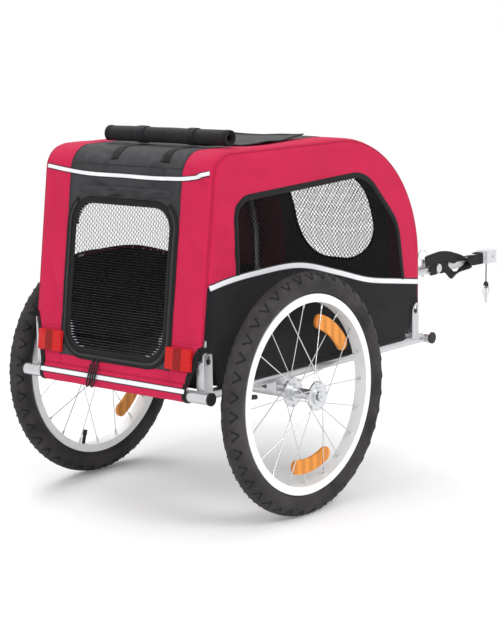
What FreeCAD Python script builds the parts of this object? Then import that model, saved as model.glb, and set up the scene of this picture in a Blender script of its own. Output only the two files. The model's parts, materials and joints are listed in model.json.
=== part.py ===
"""Two-wheeled dog trailer with a folding cabin, as separate pieces in millimetres.

Frame: +X ahead, +Y left, +Z up, floor at Z = 0, origin under the middle of the whole trailer.
Sizes called *_x are distances ahead of the wheel axle.
"""
import FreeCAD
import Part
import math
import os
import re

V = FreeCAD.Vector

SIZES = {
    # wheels
    "axle_x": -510.4, "wheel_room": 75.0, "tyre_radius": 254.0, "tyre_section": 24.0, "tyre_wall": 4.0,
    "bead_rise": 7.0, "bead_gap": 14.0, "inner_tube_gap": 0.4, "inner_tube_wall": 1.2,
    "rim_radius": 209.0, "rim_bed": 205.6, "rim_inner": 192.0, "rim_half": 15.0, "rim_wall": 3.0,
    "valve_radius": 4.0, "valve_hole": 4.3, "valve_tip": 172.0, "valve_cap_radius": 5.0,
    "valve_cap_length": 12.0, "right_valve_angle": 172.0, "left_valve_angle": -104.0,
    "hub_core": 11.0, "hub_half": 38.0, "shoulder_radius": 18.0, "shoulder_length": 16.0,
    "flange_radius": 31.0, "flange_offset": 32.0, "flange_thick": 4.0, "hub_bore": 8.0,
    "bearing_radius": 14.0, "bearing_depth": 8.0, "bearing_width": 7.5, "bearing_bore": 6.05,
    "spoke_radius": 1.1, "spoke_hole": 1.3, "spoke_circle": 27.0, "spoke_count": 20, "spoke_lead": 36.0,
    "elbow_out": 4.4, "elbow_in": 3.4, "nipple_radius": 2.4, "nipple_length": 12.0, "nipple_gap": 0.9,
    "reflector_low": 137.0, "reflector_high": 168.0, "reflector_half_angle": 18.0, "reflector_half": 2.9,
    "right_reflector_one": 53.0, "right_reflector_two": -84.0,
    "left_reflector_one": 96.0, "left_reflector_two": -41.0,
    # axles
    "axle_radius": 6.0, "axle_reach": 50.0, "axle_stand": 6.0, "axle_head_radius": 10.0, "axle_head": 4.5,
    "collar_radius": 9.0, "collar_gap": 0.3, "collar_length": 6.2, "button_radius": 3.5,
    "button_bore": 3.56, "button_depth": 22.0, "button_length": 16.0, "button_stand": 2.5,
    # base frame
    "cross_radius": 12.5, "tube_wall": 1.5, "rear_tube_x": -248.0, "front_tube_x": 540.0, "mid_tube_x": 340.0,
    "rear_tube_clear": 18.0, "front_tube_stand": 21.0, "side_radius": 11.0, "side_y": 229.0, "base_z": 282.0,
    "axle_tube_radius": 14.0, "axle_tube_wall": 2.0, "axle_tube_clear": 8.0, "socket_length": 58.0,
    "socket_bore": 6.06, "saddle_length": 36.0, "saddle_width": 26.0, "cap_radius": 13.4, "cap_lip": 4.0,
    "cap_plug": 15.0, "cap_gap": 0.1,
    "floor_thick": 4.0, "floor_rear_x": -230.0, "floor_step_x": -204.0, "floor_front_x": 456.0,
    "floor_stand": 2.0, "floor_rear_short": 13.0, "floor_lift": 0.1,
    # hinge brackets and hoops
    "right_pivot_z": 342.0, "left_pivot_z": 372.0, "hoop_radius": 8.0, "hoop_wall": 1.2,
    "hoop_rear_x": -228.0,
    "hoop_front_x": 490.0, "hoop_top_z": 744.0, "hoop_rear_bend": 52.0, "hoop_front_bend": 270.0,
    "rear_lean": 0.1324, "knuckle_length": 30.0, "pin_radius": 3.0, "pin_hole": 3.05, "pin_head_radius": 5.5,
    "pin_head": 2.0, "cheek_half": 12.5, "cheek_gap": 10.0, "web_out": 11.5, "web_in": 9.0,
    "cheek_reach": 9.0,
    "bracket_foot_z": 286.0, "cavity_foot_z": 304.0, "web_rise": 24.0, "slot_low": 3.6, "slot_high": 21.0,
    "slot_half": 5.6, "lock_radius": 3.9, "lock_hole": 3.97, "lock_rise": 10.0, "lock_tip": 13.5,
    "lock_length": 11.0,
    # cover
    "cover_stand": 12.0, "cover_thick": 3.0, "cover_round": 20.0, "cover_low_z": 297.8, "cover_low_x": -254.0,
    "knee_x": -251.0, "knee_z": 325.0, "knee_round": 60.0, "roof_z": 762.0, "roof_rear_round": 56.0,
    "nose_x": 512.0, "nose_round": 290.0, "nose_low_z": 338.0, "nose_low_round": 30.0, "nose_foot_x": 462.0,
    "centre_half": 155.0, "corner_cut_x": -196.0, "front_cut_x": 466.0, "corner_cut_rise": 34.0,
    "corner_cut_short": 22.0, "lower_rear_x": -228.0, "front_join_x": 252.0, "rear_join_z": 728.0,
    "hem_radius": 15.3, "hem_bore": 12.8, "hem_short": 22.0, "strip_thick": 0.8, "strip_gap": 0.2,
    "strip_height": 15.0, "rear_strip_short": 7.0, "low_strip_short": 24.0, "low_strip_z": 300.0,
    "top_strip_z": 702.0,
    "net_thick": 1.2, "net_step_across": 26.0, "net_step_up": 24.0, "net_bar": 3.2, "net_margin": 7.0,
    "door_half": 145.0, "door_low_z": 334.0, "door_high_z": 660.0, "door_round": 56.0, "door_gap": 0.6,
    "door_band": 14.0, "door_thick": 3.0, "front_net_half": 120.0, "front_net_low_z": 447.0,
    "front_net_high_z": 704.0, "front_net_round": 100.0, "front_step_across": 24.0, "front_step_up": 22.0,
    "slider_width": 8.0, "slider_height": 15.0, "slider_depth": 5.0, "slider_low_z": 317.0,
    "slider_one_y": 56.0, "slider_two_y": 43.0, "pull_length": 52.0, "pull_width": 8.0, "pull_thick": 2.5,
    "pull_slope": 13.0, "rear_reflector_y": 182.0, "rear_reflector_z": 353.0, "rear_reflector_width": 68.0,
    "rear_reflector_height": 45.0, "rear_reflector_depth": 7.0, "reflector_back": 2.0,
    "reflector_back_rim": 2.0,
    "roll_x": -94.0, "roll_y": -28.0, "roll_radius": 19.0, "roll_core": 5.0, "roll_pitch": 5.2,
    "roll_cloth": 3.0, "roll_half": 170.0, "roll_lift": 2.6, "tab_width": 22.0, "tab_thick": 1.2,
    "tab_gap": 0.5, "tab_y": 70.0, "tab_tail": 62.0, "flap_rear_x": -44.0, "flap_front_x": 152.0,
    "flap_half": 190.0, "flap_thick": 1.8, "flap_low": 0.1, "flap_wave": 5.0, "flap_lip": 13.0,
    # drawbar and hitch
    "drawbar_y": 65.0, "drawbar_radius": 12.5, "drawbar_wall": 1.5, "drawbar_rear_x": 322.0,
    "drawbar_bend_low_x": 612.0, "drawbar_bend_high_x": 862.0, "drawbar_front_x": 985.0, "drawbar_bend": 90.0,
    "hitch_z": 360.0, "sleeve_radius": 16.0, "sleeve_bore": 12.57, "sleeve_length": 44.0,
    "knob_radius": 17.0, "knob_height": 14.0, "knob_drop": 34.0, "screw_radius": 4.0, "screw_hole": 4.06,
    "boss_radius": 9.0, "boss_length": 13.0,
    "plug_radius": 10.95, "plug_length": 40.0, "yoke_half_y": 14.5, "yoke_half_z": 14.0, "yoke_block": 14.0,
    "bolt_x": 1012.0, "bolt_radius": 4.0, "bolt_hole": 4.06, "bolt_head_radius": 11.5, "bolt_head": 5.0,
    "nut_radius": 7.5, "nut_length": 6.0, "arm_half_y": 9.5, "arm_half_z": 12.0, "arm_gap": 0.5,
    "arm_front_x": 1250.0, "receiver_half": 17.0, "receiver_hole": 13.5, "receiver_front_x": 1292.0,
    "hitch_hole_x": 1273.0, "hitch_hole": 4.25, "ring_pin_x": 965.0, "ring_pin_radius": 3.0,
    "ring_pin_hole": 3.05, "ring_pin_low": 17.0, "ring_head_radius": 5.0, "ring_head_low": 13.5,
    "ring_head_high": 28.0, "ring_eye": 1.9, "ring_eye_up": 24.0, "ring_radius": 14.0, "ring_wire": 1.2,
    "strap_thick": 2.4, "strap_width": 25.0, "strap_gap": 0.4, "strap_rear_x": 1033.0,
    "strap_front_x": 1238.0,
    "strap_tail_x": 1072.0, "strap_tail_drop": 62.0, "band_one_x": 1052.0, "band_two_x": 1214.0,
    "lanyard_radius": 1.5, "lanyard_x": 1268.0, "lanyard_length": 58.0, "linch_radius": 4.0,
    "linch_length": 52.0, "linch_head_radius": 6.5, "linch_head": 9.0, "linch_ring": 15.0, "linch_wire": 1.8,
}

# Lengths that follow from others: factors and the sizes they count.
DERIVED = {
    "track": ((2, "side_y"), (2, "wheel_room")),
    "axle_out": ((0.5, "track"), (1, "hub_half"), (1, "axle_stand")),
    "axle_tube_half": ((0.5, "track"), (-1, "hub_half"), (-1, "axle_tube_clear")),
    "axle_in": ((1, "axle_tube_half"), (-1, "axle_reach")),
    "collar_near": ((1, "axle_tube_half"), (1, "collar_gap")),
    "rear_tube_half": ((0.5, "track"), (-1, "tyre_section"), (-1, "rear_tube_clear")),
    "front_tube_half": ((1, "side_y"), (1, "front_tube_stand")),
    "floor_half": ((1, "side_y"), (1, "floor_stand")),
    "floor_rear_half": ((1, "side_y"), (-1, "floor_rear_short")),
    "cover_half": ((1, "side_y"), (1, "cover_stand")),
    "corner_cut_half": ((1, "side_y"), (-1, "corner_cut_short")),
    "hem_half": ((1, "side_y"), (-1, "hem_short")),
    "rear_strip_half": ((1, "side_y"), (-1, "rear_strip_short")),
    "low_strip_half": ((1, "side_y"), (-1, "low_strip_short")),
}

doc = FreeCAD.newDocument("dog_trailer")
dims = doc.addObject("Spreadsheet::Sheet", "dims")
for row, (alias, value) in enumerate(SIZES.items(), start=1):
    dims.set("A%d" % row, alias)
    dims.set("B%d" % row, str(value))
    dims.setAlias("B%d" % row, alias)
doc.recompute()

TURN = {
    "x": FreeCAD.Rotation(V(0, 1, 0), 90),
    "y": FreeCAD.Rotation(V(1, 0, 0), -90),
    "z": FreeCAD.Rotation(),
}
SIDES = (("right", -1), ("left", 1))
NODES = []


def size(alias):
    """Value of one cell of the sheet, or of a length that follows from others."""
    if alias in DERIVED:
        return sum(factor * size(name) for factor, name in DERIVED[alias])
    return float(dims.get(alias))


def cell(word):
    """A size name as the sheet's cell, a derived length as its sum, any other word as it is."""
    name = word.group(0)
    if name in DERIVED:
        return "(%s)" % formula(" + ".join("(%s) * %s" % term for term in DERIVED[name]))
    return "dims." + name if name in SIZES else name


def formula(text):
    """The text with every size name pointed at its cell."""
    return re.sub(r"[a-z][a-z_]*", cell, str(text))


def bind(obj, at, **properties):
    """Binds properties and the place of a piece to formulas."""
    for name, text in properties.items():
        obj.setExpression(name, formula(text))
    for axis, text in zip("xyz", at):
        obj.setExpression(".Placement.Base." + axis, formula(text))
    return obj


def cylinder(name, radius, length, at, along="z"):
    obj = doc.addObject("Part::Cylinder", name)
    obj.Placement = FreeCAD.Placement(V(), TURN[along])
    return bind(obj, at, Radius=radius, Height=length)


def torus(name, ring, section, at, along="y"):
    obj = doc.addObject("Part::Torus", name)
    obj.Placement = FreeCAD.Placement(V(), TURN[along])
    return bind(obj, at, Radius1=ring, Radius2=section)


def block(name, length, width, height, at):
    obj = doc.addObject("Part::Box", name)
    return bind(obj, at, Length=length, Width=width, Height=height)


def cut(name, base, *tools):
    """Takes the tools away from the base, one after the other."""
    for count, tool in enumerate(tools, start=1):
        obj = doc.addObject("Part::Cut", name if count == len(tools) else "%s_step_%d" % (name, count))
        obj.Base = base
        obj.Tool = tool
        base = obj
    return base


def fuse(name, *pieces):
    obj = doc.addObject("Part::MultiFuse", name)
    obj.Shapes = list(pieces)
    return obj


def group(name, *pieces):
    obj = doc.addObject("Part::Compound", name)
    obj.Links = list(pieces)
    return obj


def tube(name, radius, wall, length, at, along):
    outer = cylinder(name + "_outer", radius, length, at, along)
    inner = cylinder(name + "_bore", "%s - %s" % (radius, wall), length, at, along)
    return cut(name, outer, inner)


def formed(name, shape):
    """A piece whose shape is worked out from the sheet in code."""
    obj = doc.addObject("Part::Feature", name)
    obj.Shape = shape
    obj.Placement = FreeCAD.Placement()
    return obj


def node(label, obj):
    obj.Label = label
    NODES.append(obj)
    return obj


def rounded(points, closed=False):
    """Wire through (point, radius) pairs with every inner corner rounded to its radius."""
    count = len(points)
    edges = []
    last = None
    first = None
    for index, (point, radius) in enumerate(points):
        if not closed and index in (0, count - 1):
            enter = leave = point
            arc = None
        else:
            before = (points[index - 1][0] - point).normalize()
            after = (points[(index + 1) % count][0] - point).normalize()
            half = before.getAngle(after) / 2
            reach = radius / math.tan(half)
            enter, leave = point + before * reach, point + after * reach
            middle = (before + after).normalize() * (radius / math.sin(half) - radius)
            arc = Part.Arc(enter, point + middle, leave).toShape()
        if last is not None and last.distanceToPoint(enter) > 1e-6:
            edges.append(Part.makeLine(last, enter))
        if arc is not None:
            edges.append(arc)
        first = enter if first is None else first
        last = leave
    if closed and last.distanceToPoint(first) > 1e-6:
        edges.append(Part.makeLine(last, first))
    return Part.Wire(edges)


def swept(wire, radius):
    """Round bar of a radius along a wire."""
    start = wire.Edges[0]
    way = start.tangentAt(start.FirstParameter)
    ring = Part.Wire(Part.makeCircle(radius, start.valueAt(start.FirstParameter), way))
    return wire.makePipeShell([ring], True, False)


def ahead(alias):
    """X of a size given ahead of the axle."""
    return size("axle_x") + size(alias)


# Wheels
def spoke_shape(hub_angle, rim_angle, flange, outside):
    """One spoke with its elbow and nipple in wheel coordinates, axle along Y."""
    face = flange * size("flange_offset")
    start_y = face + flange * size("elbow_out") if outside else face - flange * size("elbow_in")
    far_y = face - flange * size("elbow_in") if outside else face + flange * size("elbow_out")
    circle, rim = size("spoke_circle"), size("rim_inner") - size("nipple_gap")
    start = V(circle * math.cos(hub_angle), start_y, circle * math.sin(hub_angle))
    end = V(rim * math.cos(rim_angle), 0, rim * math.sin(rim_angle))
    way = (end - start).normalize()
    run = (end - start).Length
    radius = size("spoke_radius")
    shaft = Part.makeCylinder(radius, run, start, way)
    nipple = Part.makeCylinder(size("nipple_radius"), size("nipple_length"),
        end - way * size("nipple_length"), way)
    elbow = Part.makeCylinder(radius, abs(far_y - start_y), start, V(0, 1 if far_y > start_y else -1, 0))
    knee = Part.makeSphere(radius, start)
    return shaft.fuse([nipple, elbow, knee]).removeSplitter()


def spoke_angles():
    """Hub angle, rim angle, flange and face of every spoke of a wheel."""
    per_flange = int(size("spoke_count")) // 2
    step = 2 * math.pi / per_flange
    lead = math.radians(size("spoke_lead"))
    for flange in (-1, 1):
        for index in range(per_flange):
            hub_angle = step * index + (step / 2 if flange > 0 else 0)
            outside = index % 2 == 0
            yield hub_angle, hub_angle + (lead if outside else -lead), flange, outside


def reflector_shape(angle):
    """Curved spoke reflector with round ends in wheel coordinates."""
    low, high = size("reflector_low"), size("reflector_high")
    half = math.radians(size("reflector_half_angle"))
    middle = (low + high) / 2
    cap = (high - low) / 2

    def at(radius, turn):
        return V(radius * math.cos(angle + turn), -size("reflector_half"), radius * math.sin(angle + turn))

    tip = half + cap / middle
    edges = [
        Part.Arc(at(high, -half), at(high, 0), at(high, half)).toShape(),
        Part.Arc(at(high, half), at(middle, tip), at(low, half)).toShape(),
        Part.Arc(at(low, half), at(low, 0), at(low, -half)).toShape(),
        Part.Arc(at(low, -half), at(middle, -tip), at(high, -half)).toShape(),
    ]
    return Part.Face(Part.Wire(edges)).extrude(V(0, 2 * size("reflector_half"), 0))


for side, sign in SIDES:
    mid = "%d * track / 2" % sign
    centre = ("axle_x", mid, "tyre_radius")
    hub_at = V(size("axle_x"), sign * size("track") / 2, size("tyre_radius"))

    def across(length, offset="0", mid=mid):
        """Place of a cylinder along Y whose middle is offset from the wheel's middle."""
        return ("axle_x", "%s + %s - (%s) / 2" % (mid, offset, length), "tyre_radius")

    ring = "tyre_radius - tyre_section"
    tyre_outer = torus(side + "_tyre_outer", ring, "tyre_section", centre)
    tyre_inner = torus(side + "_tyre_inner", ring, "tyre_section - tyre_wall", centre)
    bead = cylinder(side + "_tyre_mouth", "rim_radius + bead_rise", "bead_gap", across("bead_gap"), "y")
    node(side + "_tyre", cut(side + "_tyre_cut", tyre_outer, tyre_inner, bead))

    valve_angle = math.radians(size(side + "_valve_angle"))
    spoke_way = V(math.cos(valve_angle), 0, math.sin(valve_angle))
    tube_skin = "tyre_section - tyre_wall - inner_tube_gap"
    tube_outer = torus(side + "_inner_tube_outer", ring, tube_skin, centre)
    tube_inner = torus(side + "_inner_tube_inner", ring, tube_skin + " - inner_tube_wall", centre)
    inner_tube = cut(side + "_inner_tube_ring", tube_outer, tube_inner)
    tube_low = size("tyre_radius") - 2 * size("tyre_section") + size("tyre_wall") + size("inner_tube_gap")
    stem = Part.makeCylinder(size("valve_radius"), tube_low - size("valve_tip"),
                             hub_at + spoke_way * size("valve_tip"), spoke_way)
    cap = Part.makeCylinder(size("valve_cap_radius"), size("valve_cap_length"),
                            hub_at + spoke_way * (size("valve_tip") - size("valve_cap_length")), spoke_way)
    valve = formed(side + "_valve", stem)
    valve_cap = formed(side + "_valve_cap", cap)
    node(side + "_inner_tube", group(side + "_inner_tube_group", inner_tube, valve, valve_cap))

    rim_width = "2 * rim_half"
    well_width = "2 * (rim_half - rim_wall)"
    rim_body = cylinder(side + "_rim_body", "rim_radius", rim_width, across(rim_width), "y")
    rim_hole = cylinder(side + "_rim_hole", "rim_inner", rim_width, across(rim_width), "y")
    well = cut(side + "_rim_well", cylinder(side + "_well_out", "rim_radius + 1", well_width,
        across(well_width), "y"),
               cylinder(side + "_well_in", "rim_bed", well_width, across(well_width), "y"))
    hollow = cut(side + "_rim_hollow",
                 cylinder(side + "_hollow_out", "rim_bed - rim_wall", well_width, across(well_width), "y"),
                 cylinder(side + "_hollow_in", "rim_inner + rim_wall", well_width, across(well_width), "y"))
    valve_hole = formed(side + "_valve_hole", Part.makeCylinder(
        size("valve_hole"), size("rim_radius") - size("valve_tip"),
        hub_at + spoke_way * size("valve_tip"), spoke_way))
    node(side + "_rim", cut(side + "_rim_cut", rim_body, rim_hole, well, hollow, valve_hole))

    core = cylinder(side + "_hub_core", "hub_core", "2 * flange_offset", across("2 * flange_offset"), "y")
    ends = []
    seats = []
    bearings = []
    for end, way in (("in", -sign), ("out", sign)):
        ends.append(cylinder("%s_shoulder_%s" % (side, end), "shoulder_radius", "shoulder_length", across(
            "shoulder_length", "%d * (hub_half - shoulder_length / 2)" % way), "y"))
        ends.append(cylinder("%s_flange_%s" % (side, end), "flange_radius", "flange_thick", across(
            "flange_thick", "%d * flange_offset" % way), "y"))
        seats.append(cylinder("%s_seat_%s" % (side, end), "bearing_radius", "bearing_depth", across(
            "bearing_depth", "%d * (hub_half - bearing_depth / 2)" % way), "y"))
        race_at = across("bearing_width", "%d * (hub_half - bearing_depth + bearing_width / 2)" % way)
        bearings.append(cut("%s_bearing_%s" % (side, end),
                            cylinder("%s_race_%s" % (side, end), "bearing_radius", "bearing_width",
                            race_at, "y"),
                            cylinder("%s_race_bore_%s" % (side, end), "bearing_bore", "bearing_width",
                            race_at, "y")))
    elbows = []
    for hub_angle, rim_angle, flange, outside in spoke_angles():
        foot = V(size("spoke_circle") * math.cos(hub_angle),
            flange * size("flange_offset") - size("flange_thick"),
                 size("spoke_circle") * math.sin(hub_angle))
        elbows.append(Part.makeCylinder(size("spoke_hole"), 2 * size("flange_thick"), foot + hub_at, V(0,
            1, 0)))
    spoke_holes = formed(side + "_spoke_holes", Part.makeCompound(elbows))
    bore = cylinder(side + "_hub_bore", "hub_bore", "2 * hub_half", across("2 * hub_half"), "y")
    shell = cut(side + "_hub_shell", fuse(side + "_hub_solid", core, *ends), bore, spoke_holes, *seats)
    node(side + "_hub", group(side + "_hub_group", shell, *bearings))

    spokes = [spoke_shape(*one) for one in spoke_angles()]
    node(side + "_spokes", formed(side + "_spoke_set",
        Part.makeCompound([one.translated(hub_at) for one in spokes])))

    plates = [reflector_shape(math.radians(size("%s_reflector_%s" % (side, one)))) for one in ("one", "two")]
    node(side + "_wheel_reflectors", formed(
        side + "_reflector_set", Part.makeCompound([one.translated(hub_at) for one in plates])))

    def outward(near, length, sign=sign):
        """Place of a cylinder along Y from a distance off the middle plane outwards."""
        return ("axle_x", "%s" % near if sign > 0 else "-(%s) - (%s)" % (near, length), "tyre_radius")

    long_run = "axle_out - axle_in"
    rod = cylinder(side + "_axle_rod", "axle_radius", long_run, outward("axle_in", long_run), "y")
    head = cylinder(side + "_axle_head", "axle_head_radius", "axle_head",
                    outward("axle_out - axle_head", "axle_head"), "y")
    collar = cylinder(side + "_axle_collar", "collar_radius", "collar_length",
                      outward("collar_near", "collar_length"), "y")
    push_bore = cylinder(side + "_button_bore", "button_bore", "button_depth",
                         outward("axle_out - button_depth", "button_depth"), "y")
    node(side + "_axle", cut(side + "_axle_cut", fuse(side + "_axle_solid", rod, head, collar), push_bore))
    node(side + "_axle_button", cylinder(side + "_button", "button_radius", "button_length", outward(
        "axle_out + button_stand - button_length", "button_length"), "y"))


# Base frame
rear_way = "axle_x + rear_tube_x"
front_way = "axle_x + front_tube_x"
node("rear_cross_tube", tube("rear_tube", "cross_radius", "tube_wall", "2 * rear_tube_half",
                             (rear_way, "-rear_tube_half", "base_z"), "y"))
cap_parts = []
for place, way, half in (("rear", rear_way, "rear_tube_half"), ("front", front_way, "front_tube_half")):
    for side, sign in SIDES:
        lip_y = half if sign > 0 else "-%s - cap_lip" % half
        plug_y = "%s - cap_plug" % half if sign > 0 else "-%s" % half
        lip = cylinder("%s_%s_cap_lip" % (side, place), "cap_radius", "cap_lip", (way, lip_y, "base_z"), "y")
        plug = cylinder("%s_%s_cap_plug" % (side, place), "cross_radius - tube_wall - cap_gap", "cap_plug",
                        (way, plug_y, "base_z"), "y")
        cap_parts.append(fuse("%s_%s_cap" % (side, place), lip, plug))
node("tube_end_caps", group("cap_group", *cap_parts))

rear_solid = cylinder("rear_envelope", "cross_radius", "2 * rear_tube_half",
                      (rear_way, "-rear_tube_half", "base_z"), "y")
front_solid = cylinder("front_envelope", "cross_radius", "2 * front_tube_half",
                       (front_way, "-front_tube_half", "base_z"), "y")
side_envelopes = {}
for side, sign in SIDES:
    at = (rear_way, "%d * side_y" % sign, "base_z")
    run = "front_tube_x - rear_tube_x"
    side_envelopes[side] = cylinder(side + "_side_envelope", "side_radius", run, at, "x")
    node(side + "_side_tube", cut(side + "_side_coped", tube(side + "_side", "side_radius", "tube_wall",
        run, at, "x"),
                                  rear_solid, front_solid))

axle_at = ("axle_x", "-axle_tube_half", "tyre_radius")
axle_envelope = cylinder("axle_envelope", "axle_tube_radius", "2 * axle_tube_half", axle_at, "y")
axle_bore = cylinder("axle_bore", "axle_tube_radius - axle_tube_wall", "2 * axle_tube_half", axle_at, "y")
saddles = []
sockets = []
for side, sign in SIDES:
    saddle = block(side + "_saddle_block", "saddle_length", "saddle_width", "base_z - tyre_radius",
                   ("axle_x - saddle_length / 2", "%d * side_y - saddle_width / 2" % sign, "tyre_radius"))
    saddles.append(cut(side + "_saddle", saddle, side_envelopes[side]))
    socket_y = "axle_tube_half - socket_length" if sign > 0 else "-axle_tube_half"
    socket_at = ("axle_x", socket_y, "tyre_radius")
    sockets.append(cut(side + "_socket", cylinder(side + "_socket_out", "axle_tube_radius - axle_tube_wall",
                                                  "socket_length", socket_at, "y"),
                       cylinder(side + "_socket_in", "socket_bore", "socket_length", socket_at, "y")))
welded = cut("axle_tube_cut", fuse("axle_tube_solid", axle_envelope, *saddles), axle_bore)
node("axle_tube", welded)
node("axle_sockets", group("socket_group", *sockets))

# The drawbar runs in a sleeve under the front cross tube and one under the middle cross tube.
drawbar_z = "base_z - cross_radius - sleeve_radius"
mid_way = "axle_x + mid_tube_x"


def sleeve(name, way):
    at = ("%s - sleeve_length / 2" % way, "drawbar_y", drawbar_z)
    return (cylinder(name + "_sleeve", "sleeve_radius", "sleeve_length", at, "x"),
            cylinder(name + "_sleeve_bore", "sleeve_bore", "sleeve_length", at, "x"))


front_sleeve, front_bore = sleeve("front", front_way)
mid_sleeve, mid_bore = sleeve("mid", mid_way)
boss = cylinder("clamp_boss", "boss_radius", "boss_length + 4",
                (front_way, "drawbar_y", drawbar_z + " - sleeve_bore - boss_length"))
screw_hole = cylinder("clamp_hole", "screw_hole", "boss_length + sleeve_bore",
                      (front_way, "drawbar_y", drawbar_z + " - sleeve_bore - boss_length"))
front_gusset = block("front_gusset", "2 * cross_radius", "2 * boss_radius", "sleeve_radius / 2",
                     (front_way + " - cross_radius", "drawbar_y - boss_radius",
                     drawbar_z + " + sleeve_radius * 0.75"))
front_bore_tube = cylinder("front_hollow", "cross_radius - tube_wall", "2 * front_tube_half",
                           (front_way, "-front_tube_half", "base_z"), "y")
node("front_cross_tube", cut("front_tube_cut", fuse("front_tube_solid", front_solid, front_sleeve,
    front_gusset, boss),
                             front_bore_tube, front_bore, screw_hole))
mid_at = (mid_way, "-side_y", "base_z")
mid_solid = cylinder("mid_solid", "side_radius", "2 * side_y", mid_at, "y")
mid_hollow = cylinder("mid_hollow", "side_radius - tube_wall", "2 * side_y", mid_at, "y")
mid_gusset = block("mid_gusset", "side_radius * 1.6", "2 * boss_radius", "sleeve_radius / 2",
                   (mid_way + " - side_radius * 0.8", "drawbar_y - boss_radius",
                   drawbar_z + " + sleeve_radius * 0.75"))
node("middle_cross_tube", cut("mid_cut", fuse("mid_fused", mid_solid, mid_sleeve, mid_gusset), mid_hollow,
    mid_bore,
                              side_envelopes["right"], side_envelopes["left"]))

knob_low = drawbar_z + " - drawbar_radius - knob_drop"
knob = cylinder("knob_grip", "knob_radius", "knob_height", (front_way, "drawbar_y", knob_low))
screw = cylinder("knob_screw", "screw_radius", "knob_drop - 0.1", (front_way, "drawbar_y", knob_low))
notches = []
for index in range(5):
    turn = 2 * math.pi * index / 5
    notches.append(cylinder("knob_notch_%d" % index, "knob_radius * 0.3", "knob_height", (
        front_way + " + knob_radius * %.5f" % (1.12 * math.cos(turn)),
        "drawbar_y + knob_radius * %.5f" % (1.12 * math.sin(turn)), knob_low)))
node("drawbar_knob", cut("knob_cut", fuse("knob_solid", knob, screw), *notches))

floor_low = "base_z + side_radius + floor_lift"
floor_main = block("floor_main", "floor_front_x - floor_step_x", "2 * floor_half", "floor_thick",
                   ("axle_x + floor_step_x", "-floor_half", floor_low))
floor_tail = block("floor_tail", "floor_step_x - floor_rear_x", "2 * floor_rear_half", "floor_thick",
                   ("axle_x + floor_rear_x", "-floor_rear_half", floor_low))
node("floor_panel", fuse("floor_fused", floor_main, floor_tail))

# Hinge brackets, hoops and lock buttons
for side, sign in SIDES:
    pivot_z = side + "_pivot_z"
    rise = "rear_lean * (%s - right_pivot_z)" % pivot_z
    for place, along in (("rear", "hoop_rear_x + " + rise), ("front", "hoop_front_x")):
        name = "%s_%s" % (side, place)
        way = "axle_x + " + along
        leg_y = "%d * side_y" % sign

        def reach(near, far, sign=sign):
            """Lower Y of a block that spans two outward distances from the leg."""
            return "side_y + %s" % near if sign > 0 else "-side_y - %s" % far

        body = block(name + "_channel", "2 * cheek_half", "web_out + cheek_reach",
            "%s + web_rise - bracket_foot_z" % pivot_z,
                     (way + " - cheek_half", reach("(-cheek_reach)", "web_out"), "bracket_foot_z"))
        cavity = block(name + "_cavity", "2 * cheek_gap", "web_in + cheek_reach",
            "%s + web_rise - cavity_foot_z" % pivot_z,
                       (way + " - cheek_gap", reach("(-cheek_reach)", "web_in"), "cavity_foot_z"))
        crown = block(name + "_crown", "2 * cheek_half", "web_in + cheek_reach", "web_rise",
                      (way + " - cheek_half", reach("(-cheek_reach)", "web_in"),
                      "%s + cheek_reach" % pivot_z))
        slot = block(name + "_slot", "2 * slot_half", "web_out", "slot_high - slot_low",
                     (way + " - slot_half", reach("0", "web_out"), "%s + slot_low" % pivot_z))
        pin_hole = cylinder(name + "_pin_hole", "pin_radius", "2 * cheek_half",
                            (way + " - cheek_half", leg_y, pivot_z), "x")
        channel = cut(name + "_bracket_cut", body, cavity, crown, slot, pin_hole, side_envelopes[side],
            rear_solid)
        pin = cylinder(name + "_pin", "pin_radius", "2 * cheek_half", (way + " - cheek_half", leg_y,
            pivot_z), "x")
        head_one = cylinder(name + "_pin_head_one", "pin_head_radius", "pin_head",
                            (way + " - cheek_half - pin_head", leg_y, pivot_z), "x")
        head_two = cylinder(name + "_pin_head_two", "pin_head_radius", "pin_head",
                            (way + " + cheek_half", leg_y, pivot_z), "x")
        rivet = fuse(name + "_rivet", pin, head_one, head_two)
        node(name + "_bracket", group(name + "_bracket_group", channel, rivet))
        lock_y = reach("lock_tip - lock_length", "lock_tip")
        lean = "rear_lean * lock_rise" if place == "rear" else "0"
        node(name + "_lock_button", cylinder(name + "_lock", "lock_radius", "lock_length", (
            "%s + %s" % (way, lean), lock_y, "%s + lock_rise" % pivot_z), "y"))

    leg_y = sign * size("side_y")
    low = size(pivot_z)
    lean = size("rear_lean")
    rear_x = ahead("hoop_rear_x") + lean * (low - size("right_pivot_z"))
    top = size("hoop_top_z")
    front_x = ahead("hoop_front_x")

    def bar_points(lift, rear_x=rear_x, low=low, lean=lean, top=top, front_x=front_x, leg_y=leg_y):
        return [(V(rear_x + lean * lift, leg_y, low + lift), 0),
                (V(rear_x + lean * (top - low), leg_y, top), size("hoop_rear_bend")),
                (V(front_x, leg_y, top), size("hoop_front_bend")),
                (V(front_x, leg_y, low + lift), 0)]

    bar = swept(rounded(bar_points(0)), size("hoop_radius"))
    hollow = swept(rounded(bar_points(size("knuckle_length"))), size("hoop_radius") - size("hoop_wall"))
    hoop = bar.fuse([Part.makeSphere(size("hoop_radius"), V(x, leg_y, low)) for x in (rear_x, front_x)])
    holes = [hollow]
    for x, shift in ((rear_x, lean * size("lock_rise")), (front_x, 0)):
        holes.append(Part.makeCylinder(size("pin_hole"), 4 * size("hoop_radius"),
                                       V(x - 2 * size("hoop_radius"), leg_y, low), V(1, 0, 0)))
        holes.append(Part.makeCylinder(size("lock_hole"), 4 * size("hoop_radius"),
                                       V(x + shift, leg_y - 2 * size("hoop_radius"), low + size("lock_rise")),
                                       V(0, 1, 0)))
    node(side + "_hoop", formed(side + "_hoop_bar", hoop.cut(holes)))

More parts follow.
